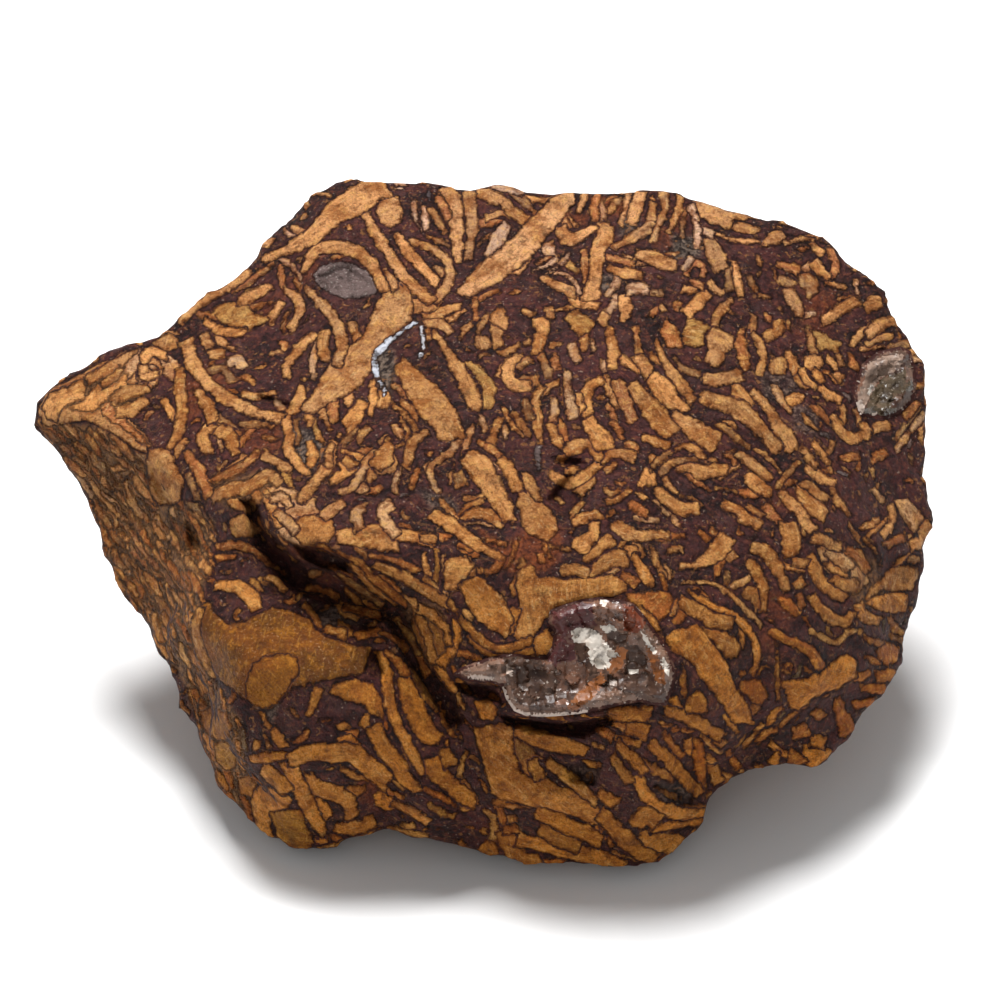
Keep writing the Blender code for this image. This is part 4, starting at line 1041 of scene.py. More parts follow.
for i in range(FILLERS):
    x = draw.uniform(60, 925)
    y = draw.uniform(190, 865)
    if is_in_round(x, y, BARE):
        continue
    nearest = np.argmin(np.hypot(directions[:, 0] - x, directions[:, 1] - y))
    turn = directions[nearest, 2] + draw.gauss(0.0, 0.30)
    line = bent_line(x, y, turn, draw.uniform(6, 19), draw.uniform(-3.5, 3.5))
    wide = draw.uniform(4.0, 9.5)
    vertices = seen_near(line, 2 * BOX_REACH)
    vertices = vertices[squareness[vertices] > FILLER_SEEN_FROM]
    widths = (wide * draw.uniform(0.3, 0.8), wide, wide * draw.uniform(0.3, 0.8))
    field = ribbon_field(seen_at[vertices], line, widths, draw.uniform(-END_SLANT, END_SLANT))
    within = field[0] > 0.0
    if within.sum() < FILLER_CORNERS or (topmost[vertices[within]] > -1.0).mean() > FILLER_OVERLAP:
        continue
    kind = one_kind(FILLER_KINDS)
    lay_fragment(kind, vertices, field, on_seen_side)

# The far side and the underside get a full scatter, and small chips fill what is left free on the seen side.
# Each round of the scatter has a count, and the lengths and breadths of its ribbons in pixels.
SCATTER_ROUNDS = ((420, (50, 95), (9, 22)), (1700, (24, 60), (7, 14)), (3200, (9, 26), (4, 8)))
SCATTER_KINDS = {"gold": 8, "rust": 3, "pale": 1, "dull": 2, "olive": 0.6}
CHIPS = 1300
CHIP_KINDS = {"dull": 5, "rust": 3, "grey": 1}
FAR_BELOW = 0.24
finder_places = places / PIXEL
finder = KDTree(len(places))
for index, place in enumerate(finder_places):
    finder.insert(place, index)
finder.balance()


def lay_scattered(kind, index, widths, length, bend, allowed):
    """Lay a bent ribbon on the stone around one of its vertices, unless something is there already."""
    middle = finder_places[index]
    normal = Vector(normals[index])
    first = normal.orthogonal().normalized()
    first.rotate(Quaternion(normal, draw.uniform(0.0, math.tau)))
    second = normal.cross(first)
    vertices = np.array([hit[1] for hit in finder.find_range(middle, length * 0.5 + 10.0)])
    vertices = vertices[normals[vertices] @ normals[index] > 0.3]
    away = finder_places[vertices] - middle
    flat = np.stack([away @ np.array(first), away @ np.array(second)], axis=1)
    line = ((-length / 2, bend), (-length / 6, -bend / 3), (length / 6, -bend / 3), (length / 2, bend))
    field = ribbon_field(flat, line, widths, draw.uniform(-0.5, 0.5))
    within = field[0] > -1.5
    if not within.any() or topmost[vertices[within]].max() <= -1.0:
        lay_fragment(kind, vertices, field, allowed)


everywhere = np.ones(len(corners), bool)
far_vertices = np.flatnonzero(squareness < FAR_BELOW)
seen_vertices = np.flatnonzero(squareness >= FAR_BELOW)
for count, lengths, breadths in SCATTER_ROUNDS:
    for i in range(count):
        index = int(far_vertices[draw.randrange(len(far_vertices))])
        wide = draw.uniform(*breadths)
        kind = one_kind(SCATTER_KINDS)
        widths = (wide * draw.uniform(0.4, 0.9), wide, wide, wide * draw.uniform(0.4, 0.9))
        lay_scattered(kind, index, widths, draw.uniform(*lengths), draw.uniform(-10, 10), everywhere)
for i in range(CHIPS):
    index = int(seen_vertices[draw.randrange(len(seen_vertices))])
    wide = draw.uniform(2.5, 4.5)
    kind = one_kind(CHIP_KINDS)
    widths = (wide * 0.5, wide, wide * 0.5)
    lay_scattered(kind, index, widths, draw.uniform(6, 15), draw.uniform(-3, 3), on_seen_side)

# The fragments stand a hair proud of the stone, with a groove along their rims.
PROUD = 0.05 * MM
GROOVE = 0.05 * MM
FREE = (-9.0, 0.0, 0.0)
groove = 1.0 - smooth_step(np.abs(topmost + 1.0), 0.0, 2.0)
lift = PROUD * smooth_step(topmost, 0.0, 3.0) - GROOVE * groove
places += normals * lift[:, None]
places[:, 2] = np.maximum(places[:, 2], foot)
rock.data.vertices.foreach_set("co", places.ravel())
for layer in ("upper", "lower"):
    fields[layer][fields[layer][:, :, 0] == NOTHING] = FREE
    spread = rock.data.attributes.new(layer + " field", "FLOAT_VECTOR", "CORNER")
    spread.data.foreach_set("vector", fields[layer].reshape(-1).astype(np.float32))
    tint = rock.data.attributes.new(layer + " colour", "FLOAT_VECTOR", "FACE")
    tint.data.foreach_set("vector", colours[layer].reshape(-1).astype(np.float32))
rock.data.polygons.foreach_set("use_smooth", np.ones(len(corners), bool))
rock.data.update()

# Stains of the ground between the fragments, and the shade in the clefts, are painted softly on the vertices.
# Each stain is its strength and its outline.
STAIN_EASE = (-4.0, 4.0)
STAIN_SEEN_FROM = 0.2
DEEPEST_CLEFT_SHADE = 2.6 * MM
STAINS = {
    "tan": [
        (0.75, FIBRE_FIELD),
        (0.7, ((48, 400), (80, 382), (110, 366), (136, 354), (130, 380), (150, 390), (120, 412), (150, 446),
               (120, 430), (96, 416), (60, 418))),
        (0.5, ((840, 548), (876, 560), (890, 600), (862, 610), (846, 590))),
        (0.5, ((210, 480), (270, 470), (286, 492), (262, 500), (232, 510), (212, 500))),
        (0.4, ((400, 604), (440, 600), (452, 660), (430, 668))),
    ],
    "red": [
        (0.9, ((478, 528), (505, 545), (530, 528), (562, 530), (560, 560), (545, 572), (515, 574),
               (495, 562))),
        (0.9, ((596, 196), (626, 200), (624, 214), (600, 216))),
        (0.6, ((560, 212), (590, 214), (585, 226), (566, 222))),
        (0.7, ((176, 376), (200, 380), (206, 410), (190, 420), (180, 400))),
        (0.5, ((240, 428), (280, 425), (284, 450), (262, 454), (240, 445))),
        (0.5, ((765, 585), (790, 596), (800, 618), (770, 620), (756, 606))),
        (0.6, ((620, 596), (650, 616), (664, 640), (650, 646), (626, 620))),
        (0.5, ((372, 772), (384, 790), (376, 812), (360, 800), (352, 778))),
        (0.5, ((655, 225), (672, 232), (672, 246), (654, 248))),
    ],
    "grey": [
        (0.9, ((374, 350), (384, 344), (394, 352), (396, 372), (390, 394), (380, 388), (374, 368))),
        (0.8, ((285, 425), (320, 432), (326, 452), (312, 474), (294, 462), (284, 440))),
        (0.8, ((622, 215), (640, 218), (634, 232), (618, 236))),
        (0.9, ((672, 236), (702, 238), (700, 256), (674, 258))),
        (0.8, ((600, 272), (622, 278), (616, 292), (600, 290))),
        (0.7, ((324, 269), (350, 268), (376, 280), (372, 294), (346, 298), (326, 290))),
        (0.6, ((318, 608), (352, 608), (360, 624), (330, 630), (314, 622))),
        (0.7, ((254, 708), (280, 703), (272, 722))),
        (0.6, ((420, 490), (452, 498), (460, 512), (430, 508))),
        (0.6, ((652, 780), (690, 786), (696, 800), (664, 800))),
        (0.5, ((760, 372), (800, 376), (796, 402), (764, 400))),
        (0.5, ((790, 404), (820, 408), (818, 436), (794, 430))),
        (0.5, ((566, 762), (602, 766), (596, 786), (570, 782))),
    ],
}
for name, patches in STAINS.items():
    amount = np.zeros(len(places))
    for strength, outline in patches:
        inside = mass_field(seen_at, outline, 0.0)[0]
        painted = strength * smooth_step(inside, *STAIN_EASE) * (squareness > STAIN_SEEN_FROM)
        amount = np.maximum(amount, painted)
    stain = rock.data.attributes.new(name + " stain", "FLOAT", "POINT")
    stain.data.foreach_set("value", amount.astype(np.float32))
cleft_shade = rock.data.attributes.new("cleft_shade", "FLOAT", "POINT")
cleft_shade.data.foreach_set("value", (pressed / DEEPEST_CLEFT_SHADE).astype(np.float32))


# The stone's material: a maroon ground with specks and stains, and the fragments laid over it.
class Shading:
    """Builds the nodes of a material or of a node group, one short line each."""

    def __init__(self, tree):
        self.tree = tree
        self.shader = tree.nodes.get("Principled BSDF")

    def set(self, socket, value):
        if isinstance(value, bpy.types.NodeSocket):
            self.tree.links.new(value, socket)
        else:
            socket.default_value = value

    def node(self, kind, values):
        step = self.tree.nodes.new("ShaderNode" + kind)
        for name, value in values.items():
            self.set(step.inputs[name], value)
        return step

    def attribute(self, name, output):
        reader = self.node("Attribute", {})
        reader.attribute_name = name
        return reader.outputs[output]

    def math(self, operation, first, second=0.0, clamp=False):
        step = self.node("Math", {0: first, 1: second})
        step.operation = operation
        step.use_clamp = clamp
        return step.outputs[0]

    def plus(self, first, second):
        return self.math("ADD", first, second)

    def minus(self, first, second):
        return self.math("SUBTRACT", first, second)

    def times(self, first, second):
        return self.math("MULTIPLY", first, second)

    def split(self, vector):
        return self.node("SeparateXYZ", {0: vector}).outputs

    def join(self, x, y, z):
        return self.node("CombineXYZ", {0: x, 1: y, 2: z}).outputs[0]

    def mix(self, share, first, second):
        step = self.tree.nodes.new("ShaderNodeMix")
        step.data_type = "RGBA"
        self.set(step.inputs["Factor"], share)
        self.set(step.inputs[6], first)
        self.set(step.inputs[7], second)
        return step.outputs[2]

    def ease(self, value, low, high, start=0.0, end=1.0):
        step = self.node("MapRange", {0: value, 1: low, 2: high, 3: start, 4: end})
        step.interpolation_type = "SMOOTHSTEP"
        return step.outputs[0]

    def noise(self, scale, detail=2.0, roughness=0.5, place=None):
        if place is None:
            place = self.node("TexCoord", {}).outputs["Object"]
        values = {"Scale": scale, "Detail": detail, "Roughness": roughness, "Vector": place}
        return self.node("TexNoise", values).outputs[0]

    def bump(self, height, distance, strength=1.0, normal=None):
        step = self.node("Bump", {"Strength": strength, "Distance": distance, "Height": height})
        if normal is not None:
            self.set(step.inputs["Normal"], normal)
        return step.outputs[0]

    def layers(self, surface, tones):
        """Lay tones over a surface, each where its pattern goes from one value to another."""
        for pattern, low, high, strength, tone in tones:
            surface = self.mix(self.ease(pattern, low, high, 0.0, strength), surface, tone)
        return surface


def shade(red, green, blue):
    """A screen colour as a socket value."""
    return (*linear((red, green, blue)), 1.0)


stone_material = bpy.data.materials.new("stone")
stone_material.use_nodes = True
look = Shading(stone_material.node_tree)

# How deep a place lies inside the two fragments of its face, in pixels, once their edges are made ragged. A
# dark gap parts the upper fragment from the lower one.
DARK_GAP = 1.3
ragged = look.plus(look.times(look.noise(1500.0, 5.0, 0.7), 11.0), look.times(look.noise(480.0, 2.0), 7.0))
ragged = look.minus(ragged, 8.3)
upper = look.split(look.attribute("upper field", "Vector"))
lower = look.split(look.attribute("lower field", "Vector"))
upper_depth = look.plus(upper[0], ragged)
lower_depth = look.plus(lower[0], ragged)
on_upper = look.ease(upper_depth, -0.6, 0.6)
off_upper = look.minus(1.0, on_upper)
clear_of_upper = look.ease(upper_depth, -DARK_GAP + 0.5, -DARK_GAP - 0.5)
on_lower = look.times(look.ease(lower_depth, -0.6, 0.6), clear_of_upper)
on_fragment = look.math("ADD", on_upper, on_lower, clamp=True)
lower_part = look.math("MINIMUM", lower_depth, look.minus(-DARK_GAP, upper_depth))
depth = look.math("MAXIMUM", upper_depth, lower_part)
along = look.plus(look.times(upper[1], on_upper), look.times(lower[1], off_upper))
across = look.plus(look.times(upper[2], on_upper), look.times(lower[2], off_upper))
lower_colour = look.attribute("lower colour", "Color")
own_colour = look.mix(on_upper, lower_colour, look.attribute("upper colour", "Color"))
own_parts = look.split(own_colour)

# A fragment's own patterns: grain along it, cracks across it, and blotches from broad to fine; and painted
# shade towards its edges.
grain_shift = look.times(own_parts[0], 90.0)
grain_place = look.join(look.times(along, 0.07), look.times(across, 0.30), grain_shift)
grain = look.noise(1.0, 4.0, 0.7, grain_place)
crack_shift = look.times(own_parts[1], 80.0)
crack_place = look.join(look.times(along, 0.16), look.times(across, 0.05), crack_shift)
crack = look.math("ABSOLUTE", look.minus(look.noise(1.0, 3.0, 0.7, crack_place), 0.5))
broad = look.noise(420.0, 5.0, 0.6)
mottle = look.noise(1500.0, 6.0, 0.68)
fine = look.noise(6500.0, 3.0, 0.65)
paleness = look.ease(own_parts[2], 0.001, 0.05)
lit_shade = look.mix(paleness, shade(0.86, 0.56, 0.17), shade(0.90, 0.67, 0.37))
bright_shade = look.mix(paleness, shade(0.93, 0.68, 0.30), shade(0.96, 0.80, 0.56))
shell = look.layers(own_colour, (
    (broad, 0.54, 0.40, 0.70, shade(0.60, 0.33, 0.10)),
    (mottle, 0.50, 0.64, 0.55, lit_shade),
    (mottle, 0.48, 0.36, 0.70, shade(0.50, 0.27, 0.09)),
    (grain, 0.46, 0.36, 0.50, shade(0.48, 0.27, 0.10)),
    (grain, 0.55, 0.68, 0.35, bright_shade),
    (fine, 0.44, 0.33, 0.45, shade(0.36, 0.19, 0.08)),
    (fine, 0.58, 0.70, 0.38, bright_shade),
    # Painted shade: each fragment darkens towards its edges, where a raised ribbon turns from the light.
    (depth, 2.8, 0.0, 0.60, shade(0.50, 0.25, 0.09)),
    (crack, 0.020, 0.0, 0.45, shade(0.28, 0.14, 0.07)),
))
glassy = look.layers(own_colour, (
    (mottle, 0.52, 0.38, 0.60, shade(0.22, 0.17, 0.15)),
    (fine, 0.58, 0.70, 0.60, shade(0.82, 0.78, 0.74)),
))
is_shell = look.ease(look.minus(own_parts[0], own_parts[2]), 0.08, 0.20)
fragment = look.mix(is_shell, glassy, shell)

# The ground: maroon with purple-grey patches of dust and painted sheen, then the stains, then specks and thin
# pale threads.
ground_noise = look.noise(330.0, 6.0, 0.66)
ground_fine = look.noise(2400.0, 5.0, 0.72)
darkest_ground = shade(0.138, 0.064, 0.064)
ground = look.mix(look.ease(ground_noise, 0.36, 0.64), darkest_ground, shade(0.285, 0.137, 0.135))
ground = look.layers(ground, (
    (ground_fine, 0.48, 0.66, 0.65, shade(0.46, 0.25, 0.19)),
    (ground_fine, 0.47, 0.34, 0.80, shade(0.075, 0.040, 0.038)),
    # Purple-grey patches: partly the ground's dusty tone, partly a painted sheen.
    (look.noise(850.0, 4.0, 0.7), 0.50, 0.66, 0.55, shade(0.34, 0.215, 0.205)),
))
red_drift = look.ease(look.noise(160.0, 3.0), 0.62, 0.74, 0.0, 0.6)
red_patch = look.math("MAXIMUM", look.attribute("red stain", "Fac"), red_drift)
tan_patch = look.attribute("tan stain", "Fac")
grey_patch = look.attribute("grey stain", "Fac")
for patch, low, high, dark, light in (
    (red_patch, 0.35, 0.65, shade(0.30, 0.12, 0.06), shade(0.58, 0.30, 0.15)),
    (tan_patch, 0.36, 0.62, shade(0.27, 0.16, 0.08), shade(0.66, 0.47, 0.28)),
    (grey_patch, 0.42, 0.62, shade(0.13, 0.095, 0.085), shade(0.52, 0.45, 0.39)),
):
    ground = look.mix(patch, ground, look.mix(look.ease(ground_fine, low, high), dark, light))
ground = look.layers(ground, (
    (look.noise(2100.0, 4.0, 0.6), 0.61, 0.65, 0.75, shade(0.56, 0.37, 0.21)),
    (look.noise(4300.0, 2.0, 0.5), 0.67, 0.71, 0.60, shade(0.66, 0.55, 0.48)),
))
thread = look.math("ABSOLUTE", look.minus(look.noise(620.0, 3.0, 0.6), 0.5))
has_threads = look.ease(look.noise(380.0, 2.0), 0.46, 0.58, 0.0, 0.45)
thread = look.times(look.ease(thread, 0.014, 0.004), has_threads)
ground = look.mix(thread, ground, shade(0.52, 0.35, 0.21))

# The surface: fragments over ground, worn in patches, with a patchy dark rim that is partly the rock's dark
# seams and partly painted shade where the fragments stand proud, and painted shade in the clefts.
surface = look.mix(on_fragment, ground, fragment)
surface = look.layers(surface, ((look.noise(620.0, 6.0, 0.72), 0.54, 0.68, 0.50, shade(0.23, 0.125, 0.075)),))
# Dark rim along the fragments' edges: partly the rock's dark seams, partly painted shade.
patchy = look.ease(look.noise(800.0, 3.0), 0.36, 0.62, 0.0, 0.56)
rim_and_edge_shade = look.times(look.ease(look.math("ABSOLUTE", look.plus(depth, 1.0)), 1.4, 0.2), patchy)
surface = look.mix(rim_and_edge_shade, surface, shade(0.165, 0.085, 0.048))
# Painted shade in the clefts, darkest where the skin is pressed in deepest.
surface = look.mix(look.times(look.attribute("cleft_shade", "Fac"), 0.45), surface, shade(0.10, 0.06, 0.05))
look.set(look.shader.inputs["Base Color"], surface)
rough = look.plus(0.62, look.times(look.minus(ground_fine, 0.5), 0.6))
rough = look.math("SUBTRACT", rough, look.times(grey_patch, 0.12), clamp=True)
look.set(look.shader.inputs["Roughness"], rough)
look.set(look.shader.inputs["Specular IOR Level"], 0.16)
height = look.plus(look.ease(depth, -2.0, 1.6), look.times(look.times(grain, on_fragment), 0.5))
relief = None
for pattern, rise in ((broad, 1.3), (mottle, 0.80), (height, 0.24), (ground_fine, 0.30)):
    relief = look.bump(pattern, rise * MM, 1.0, relief)
look.set(look.shader.inputs["Normal"], relief)
rock.data.materials.append(stone_material)
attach(rock, "root")
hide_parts("stone")


# The quartz pockets: glassy crusts that grew in two hollows of the stone, stained in patches, each one piece.
# A crust covers its hollow's floor nearly to the brim, and sits a little way into the stone. It is a sheet of
# tilted facets: a facet is a cell around a random point, cut flat at its own height and slope.
CRUST_STEP = 2.4
CRUST_SINK = 0.15 * MM
CRUST_SKIN = 0.02 * MM
FACET_SLOPE = 0.020
BRIM_WIDTH = 3.2
BRIM_DARKER_THAN = 0.6
# Each kind has its tint and its material: clear, milky or dull.
QUARTZ_KINDS = {
    "clear": ((0.54, 0.38, 0.30), 0),
    "smoky": ((0.29, 0.205, 0.160), 1),
    "plum": ((0.320, 0.165, 0.160), 1),
    "amber": ((0.52, 0.31, 0.16), 1),
    "rust": ((0.40, 0.190, 0.110), 1),
    "white": ((0.84, 0.80, 0.75), 1),
    "veil": ((0.45, 0.345, 0.285), 1),
    "haze": ((0.55, 0.46, 0.40), 1),
    "pale": ((0.70, 0.63, 0.58), 1),
    "olive": ((0.37, 0.31, 0.235), 0),
    "brim": ((0.210, 0.110, 0.095), 2),
}
FRONT_EDGE = ((451, 675), (462, 667), (476, 662), (490, 657), (504, 654), (520, 654), (534, 657), (546, 656),
              (552, 646), (554, 632), (548, 622), (550, 610), (566, 604), (582, 599), (600, 597), (618, 599),
              (634, 604), (645, 616), (657, 633), (670, 652), (677, 674), (672, 692), (666, 706), (652, 705),
              (640, 702), (622, 705), (600, 710), (578, 714), (560, 716), (543, 717), (526, 716), (514, 711),
              (506, 699), (502, 687), (488, 682), (468, 679))
FRONT_PATCHES = [
    ("smoky", ((577, 644), (584, 642), (589, 648), (588, 660), (582, 664), (577, 658))),
    ("white", ((571, 630), (585, 627), (598, 632), (604, 640), (612, 649), (619, 655), (609, 660), (611, 667),
               (600, 670), (590, 663), (588, 652), (582, 645), (573, 641))),
    ("white", ((600, 600), (606, 599), (608, 605), (602, 607))),
    ("white", ((600, 626), (612, 624), (618, 630), (606, 633))),
    ("pale", ((500, 686), (504, 686), (508, 698), (516, 709), (530, 713), (529, 717), (514, 713),
              (504, 702))),
    ("pale", ((530, 714), (570, 713), (588, 710), (588, 713), (568, 717), (532, 718))),
    ("pale", ((506, 664), (513, 668), (512, 676), (506, 674))),
    ("pale", ((598, 642), (604, 640), (606, 648), (599, 650))),
    ("white", ((640, 630), (646, 636), (652, 646), (658, 652), (655, 655), (644, 642))),
    ("white", ((662, 656), (668, 664), (670, 676), (666, 674), (661, 664))),
    ("pale", ((470, 674), (490, 676), (496, 679), (484, 680), (468, 678))),
    ("pale", ((610, 680), (617, 680), (616, 686), (610, 685))),
    ("white", ((628, 670), (638, 669), (639, 673), (630, 675))),
    ("clear", ((592, 600), (622, 600), (624, 628), (604, 634), (594, 622))),
    ("rust", ((622, 600), (640, 606), (646, 624), (636, 634), (624, 630))),
    ("amber", ((645, 644), (655, 652), (664, 668), (666, 686), (656, 682), (650, 664))),
    ("veil", ((633, 628), (646, 632), (662, 646), (674, 670), (674, 690), (668, 700), (662, 682), (652, 662),
              (640, 650))),
    ("smoky", ((644, 690), (658, 685), (668, 694), (664, 702), (650, 702))),
    ("amber", ((566, 708), (580, 690), (602, 672), (606, 680), (594, 697), (578, 710))),
    ("amber", ((618, 646), (628, 650), (622, 668), (612, 676), (606, 668))),
    ("veil", ((582, 706), (600, 692), (622, 690), (642, 698), (652, 704), (600, 711))),
    ("smoky", ((622, 644), (642, 646), (648, 668), (630, 672), (622, 658))),
    ("veil", ((502, 686), (510, 686), (516, 702), (532, 710), (528, 716), (512, 710))),
    ("smoky", ((504, 660), (520, 656), (540, 660), (550, 676), (558, 690), (552, 708), (530, 709), (514, 702),
               (506, 686))),
    ("clear", ((556, 664), (576, 660), (590, 672), (584, 690), (566, 694), (558, 684))),
    ("plum", ((544, 604), (577, 602), (596, 604), (598, 626), (576, 630), (574, 650), (578, 664), (560, 672),
              (548, 660), (541, 640))),
    ("veil", ((450, 672), (480, 662), (500, 660), (504, 684), (480, 682))),
]
RIGHT_EDGE = ((862, 364), (877, 352), (900, 346), (911, 351), (915, 366), (917, 384), (913, 402), (901, 413),
              (886, 419), (860, 416), (853, 393))
RIGHT_PATCHES = [
    ("white", ((869, 386), (874, 383), (872, 392), (867, 396))),
    ("pale", ((856, 402), (861, 400), (865, 408), (863, 413), (858, 411))),
    ("pale", ((872, 413), (877, 412), (877, 415), (872, 415))),
    ("veil", ((905, 366), (913, 368), (914, 380), (906, 382))),
    ("haze", ((864, 380), (868, 364), (884, 356), (903, 354), (904, 362), (894, 372), (880, 378), (872, 392),
              (862, 414), (854, 404))),
    ("smoky", ((862, 364), (877, 352), (900, 346), (906, 349), (902, 354), (882, 356), (868, 364))),
    ("smoky", ((898, 394), (914, 390), (912, 402), (900, 411), (890, 406))),
    ("olive", ((872, 392), (882, 378), (900, 372), (916, 362), (918, 384), (912, 404), (884, 418),
               (864, 414))),
]
rock_tree = BVHTree.FromPolygons([Vector(place) for place in places], corners.tolist())


def seen_ray(x, y):
    """The direction in which a place of the picture is seen."""
    right = (x - PICTURE_SIDE / 2) * PIXEL
    up = (PICTURE_SIDE / 2 - y) * PIXEL
    return (PICTURE_MIDDLE + Vector((right, 0.0, 0.0)) + picture_up * up - eye).normalized()


def strewn_places(pick, low, high, step, stray):
    """A grid of places over a box of the picture, each strayed a little to the side."""
    places = []
    for x in np.arange(low[0], high[0], step):
        for y in np.arange(low[1], high[1], step):
            places.append((x + pick.uniform(-stray, stray), y + pick.uniform(-stray, stray)))
    return np.array(places)


def evenly_stepped(outline, step):
    """The places along an outline, about a step apart."""
    line = []
    for a, b in zip(outline, np.roll(outline, -1, axis=0)):
        count = max(1, int(np.hypot(*(b - a)) / step))
        line += [a + (b - a) * i / count for i in range(count)]
    return np.array(line)


def closed_sheet(name, over, under, faces, rim_edges):
    """A closed sheet between an upper and an under layer of the same faces, as a new object."""
    count = len(over)
    lower_faces = [tuple(i + count for i in reversed(face)) for face in faces]
    sides = [(i, j, j + count, i + count) for i, j in rim_edges]
    mesh = bpy.data.meshes.new(name)
    mesh.from_pydata(over + under, [], faces + lower_faces + sides)
    skin = bmesh.new()
    skin.from_mesh(mesh)
    bmesh.ops.recalc_face_normals(skin, faces=skin.faces)
    skin.to_mesh(mesh)
    skin.free()
    sheet = bpy.data.objects.new(name, mesh)
    bpy.context.scene.collection.objects.link(sheet)
    return sheet


def quartz_crust(name, node, edge, patches, facet, depth, seed):
    """A crust of tilted quartz facets that fills a pocket of the rock, with its stains laid in patches.

    The edge and a facet's size are in pixels, and the crust's depth is in millimetres.
    """
    pick = random.Random(seed)
    outline = np.array(edge, float)
    low_corner = outline.min(axis=0)
    high_corner = outline.max(axis=0)
    spots = strewn_places(pick, low_corner, high_corner, CRUST_STEP, 0.6)
    spots = spots[mass_field(spots, edge, 0.0)[0] > 0.45 * CRUST_STEP]
    rim_line = evenly_stepped(outline, CRUST_STEP)
    spots = np.vstack([rim_line, spots])

    middles = strewn_places(pick, low_corner, high_corner + facet, facet, 0.45 * facet)
    slopes = np.array([(pick.uniform(-1, 1), pick.uniform(-1, 1)) for middle in middles]) * FACET_SLOPE
    tops = np.array([pick.uniform(0.7, 1.0) for middle in middles])
    away = spots[:, None, :] - middles[None, :, :]
    cell = np.argmin((away ** 2).sum(axis=2), axis=1)
    tilt = (away[np.arange(len(spots)), cell] * slopes[cell]).sum(axis=1)
    brim_ease = smooth_step(mass_field(spots, edge, 0.0)[0], -1.0, 12.0)
    height = np.clip(tops[cell] + tilt, 0.25, 1.15) * depth * brim_ease

    flat = [Vector(spot) for spot in spots]
    rim_edges = [(i, (i + 1) % len(rim_line)) for i in range(len(rim_line))]
    points, _, faces = delaunay_2d_cdt(flat, rim_edges, [], 1, 1e-6)[:3]
    over = []
    under = []
    for (x, y), rise in zip(points, np.append(height, np.zeros(len(points) - len(height)))):
        ray = seen_ray(x, y)
        hit = rock_tree.ray_cast(eye, ray)[0]
        under.append(hit + ray * CRUST_SINK)
        over.append(hit - ray * (rise * MM + CRUST_SKIN))
    turned = []
    for face in faces:
        a, b, c = (points[i] for i in face)
        is_left = (b - a).cross(c - a) > 0
        turned.append(tuple(reversed(face)) if is_left else tuple(face))
    crust = closed_sheet(name, over, under, turned, rim_edges)

    mesh = crust.data
    seen_centres = picture_places(np.array([polygon.center[:] for polygon in mesh.polygons]))
    cell_kinds = [pick.choice(("clear", "smoky", "smoky", "clear")) for middle in middles]
    nearest = np.argmin(((seen_centres[:, None, :] - middles[None, :, :]) ** 2).sum(axis=2), axis=1)
    tints = np.array([QUARTZ_KINDS[cell_kinds[i]][0] for i in nearest])
    slots = np.array([QUARTZ_KINDS[cell_kinds[i]][1] for i in nearest])
    for kind, patch in reversed(patches):
        covered = mass_field(seen_centres, patch, 0.0)[0] > 0.0
        tints[covered], slots[covered] = QUARTZ_KINDS[kind]
    brim = (mass_field(seen_centres, edge, 0.0)[0] < BRIM_WIDTH) & (tints[:, 0] < BRIM_DARKER_THAN)
    tints[brim], slots[brim] = QUARTZ_KINDS["brim"]
    mesh.polygons.foreach_set("material_index", slots)
    tint = mesh.attributes.new("tint", "FLOAT_VECTOR", "FACE")
    tint.data.foreach_set("vector", np.array([linear(t) for t in tints]).reshape(-1).astype(np.float32))
    for material in (clear_quartz, milky_quartz, dull_quartz):
        mesh.materials.append(material)
    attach(crust, "root")
    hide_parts(node)


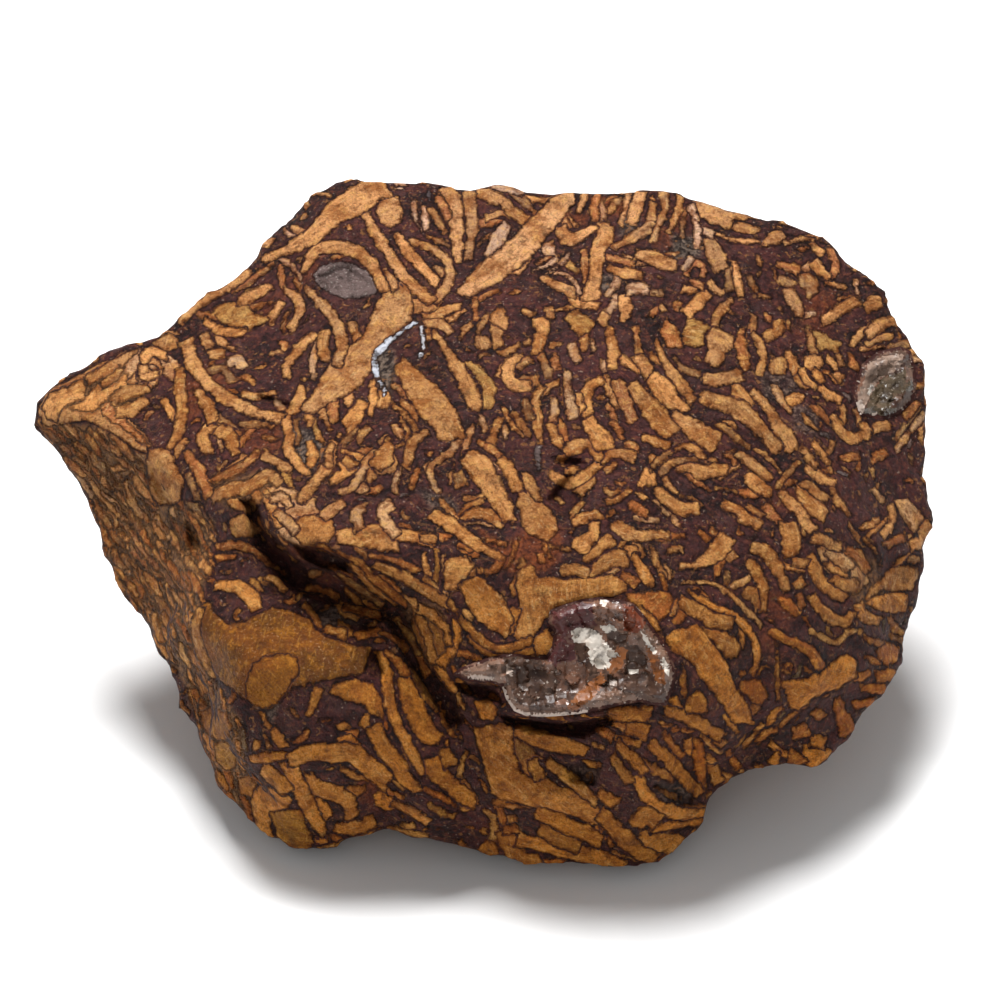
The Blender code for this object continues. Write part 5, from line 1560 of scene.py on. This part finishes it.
# Stains, and painted glints as pale specks, run through all of the quartz.
quartz_clouds = bpy.data.node_groups.new("quartz clouds", "ShaderNodeTree")
quartz_clouds.interface.new_socket("Tint", in_out="INPUT", socket_type="NodeSocketColor")
quartz_clouds.interface.new_socket("Colour", in_out="OUTPUT", socket_type="NodeSocketColor")
quartz_clouds.interface.new_socket("Height", in_out="OUTPUT", socket_type="NodeSocketFloat")
clouds = Shading(quartz_clouds)
tint_given = quartz_clouds.nodes.new("NodeGroupInput").outputs["Tint"]
clouds_made = quartz_clouds.nodes.new("NodeGroupOutput").inputs
cloud = clouds.noise(1500.0, 4.0, 0.6)
glint_specks = clouds.noise(4200.0, 3.0, 0.6)
clouded = clouds.layers(tint_given, (
    (cloud, 0.50, 0.34, 0.60, shade(0.17, 0.10, 0.09)),
    (cloud, 0.54, 0.70, 0.35, shade(0.62, 0.48, 0.40)),
    # Painted glints: pale specks that stand in for light sparkling on the quartz.
    (glint_specks, 0.62, 0.70, 0.50, shade(0.86, 0.80, 0.74)),
))
clouds.set(clouds_made["Colour"], clouded)
clouds.set(clouds_made["Height"], cloud)


def quartz_look(name, clearness, roughness, gloss):
    """Quartz with its stains in the tint of each face, glassy or clouded."""
    material = bpy.data.materials.new(name)
    material.use_nodes = True
    glass = Shading(material.node_tree)
    group = glass.tree.nodes.new("ShaderNodeGroup")
    group.node_tree = quartz_clouds
    glass.set(group.inputs["Tint"], glass.attribute("tint", "Color"))
    relief = glass.bump(group.outputs["Height"], 0.05 * MM, 0.6)
    for socket, value in (
        ("Base Color", group.outputs["Colour"]), ("Roughness", roughness), ("IOR", 1.54),
        ("Specular IOR Level", gloss), ("Transmission Weight", clearness), ("Normal", relief),
    ):
        glass.set(glass.shader.inputs[socket], value)
    return material


clear_quartz = quartz_look("clear quartz", clearness=0.40, roughness=0.26, gloss=0.30)
milky_quartz = quartz_look("milky quartz", clearness=0.10, roughness=0.38, gloss=0.22)
dull_quartz = quartz_look("dull quartz", clearness=0.0, roughness=0.70, gloss=0.08)
quartz_crust("front_quartz", "quartz_druse", FRONT_EDGE, FRONT_PATCHES, facet=10.0, depth=1.15, seed=3)
quartz_crust("edge_quartz", "quartz_pocket", RIGHT_EDGE, RIGHT_PATCHES, facet=12.0, depth=1.2, seed=5)

# The sizes of the CAD model and of the visible one.
size = {"cad": [list(v) for v in cad_box], "visual": [list(v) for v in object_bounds()]}
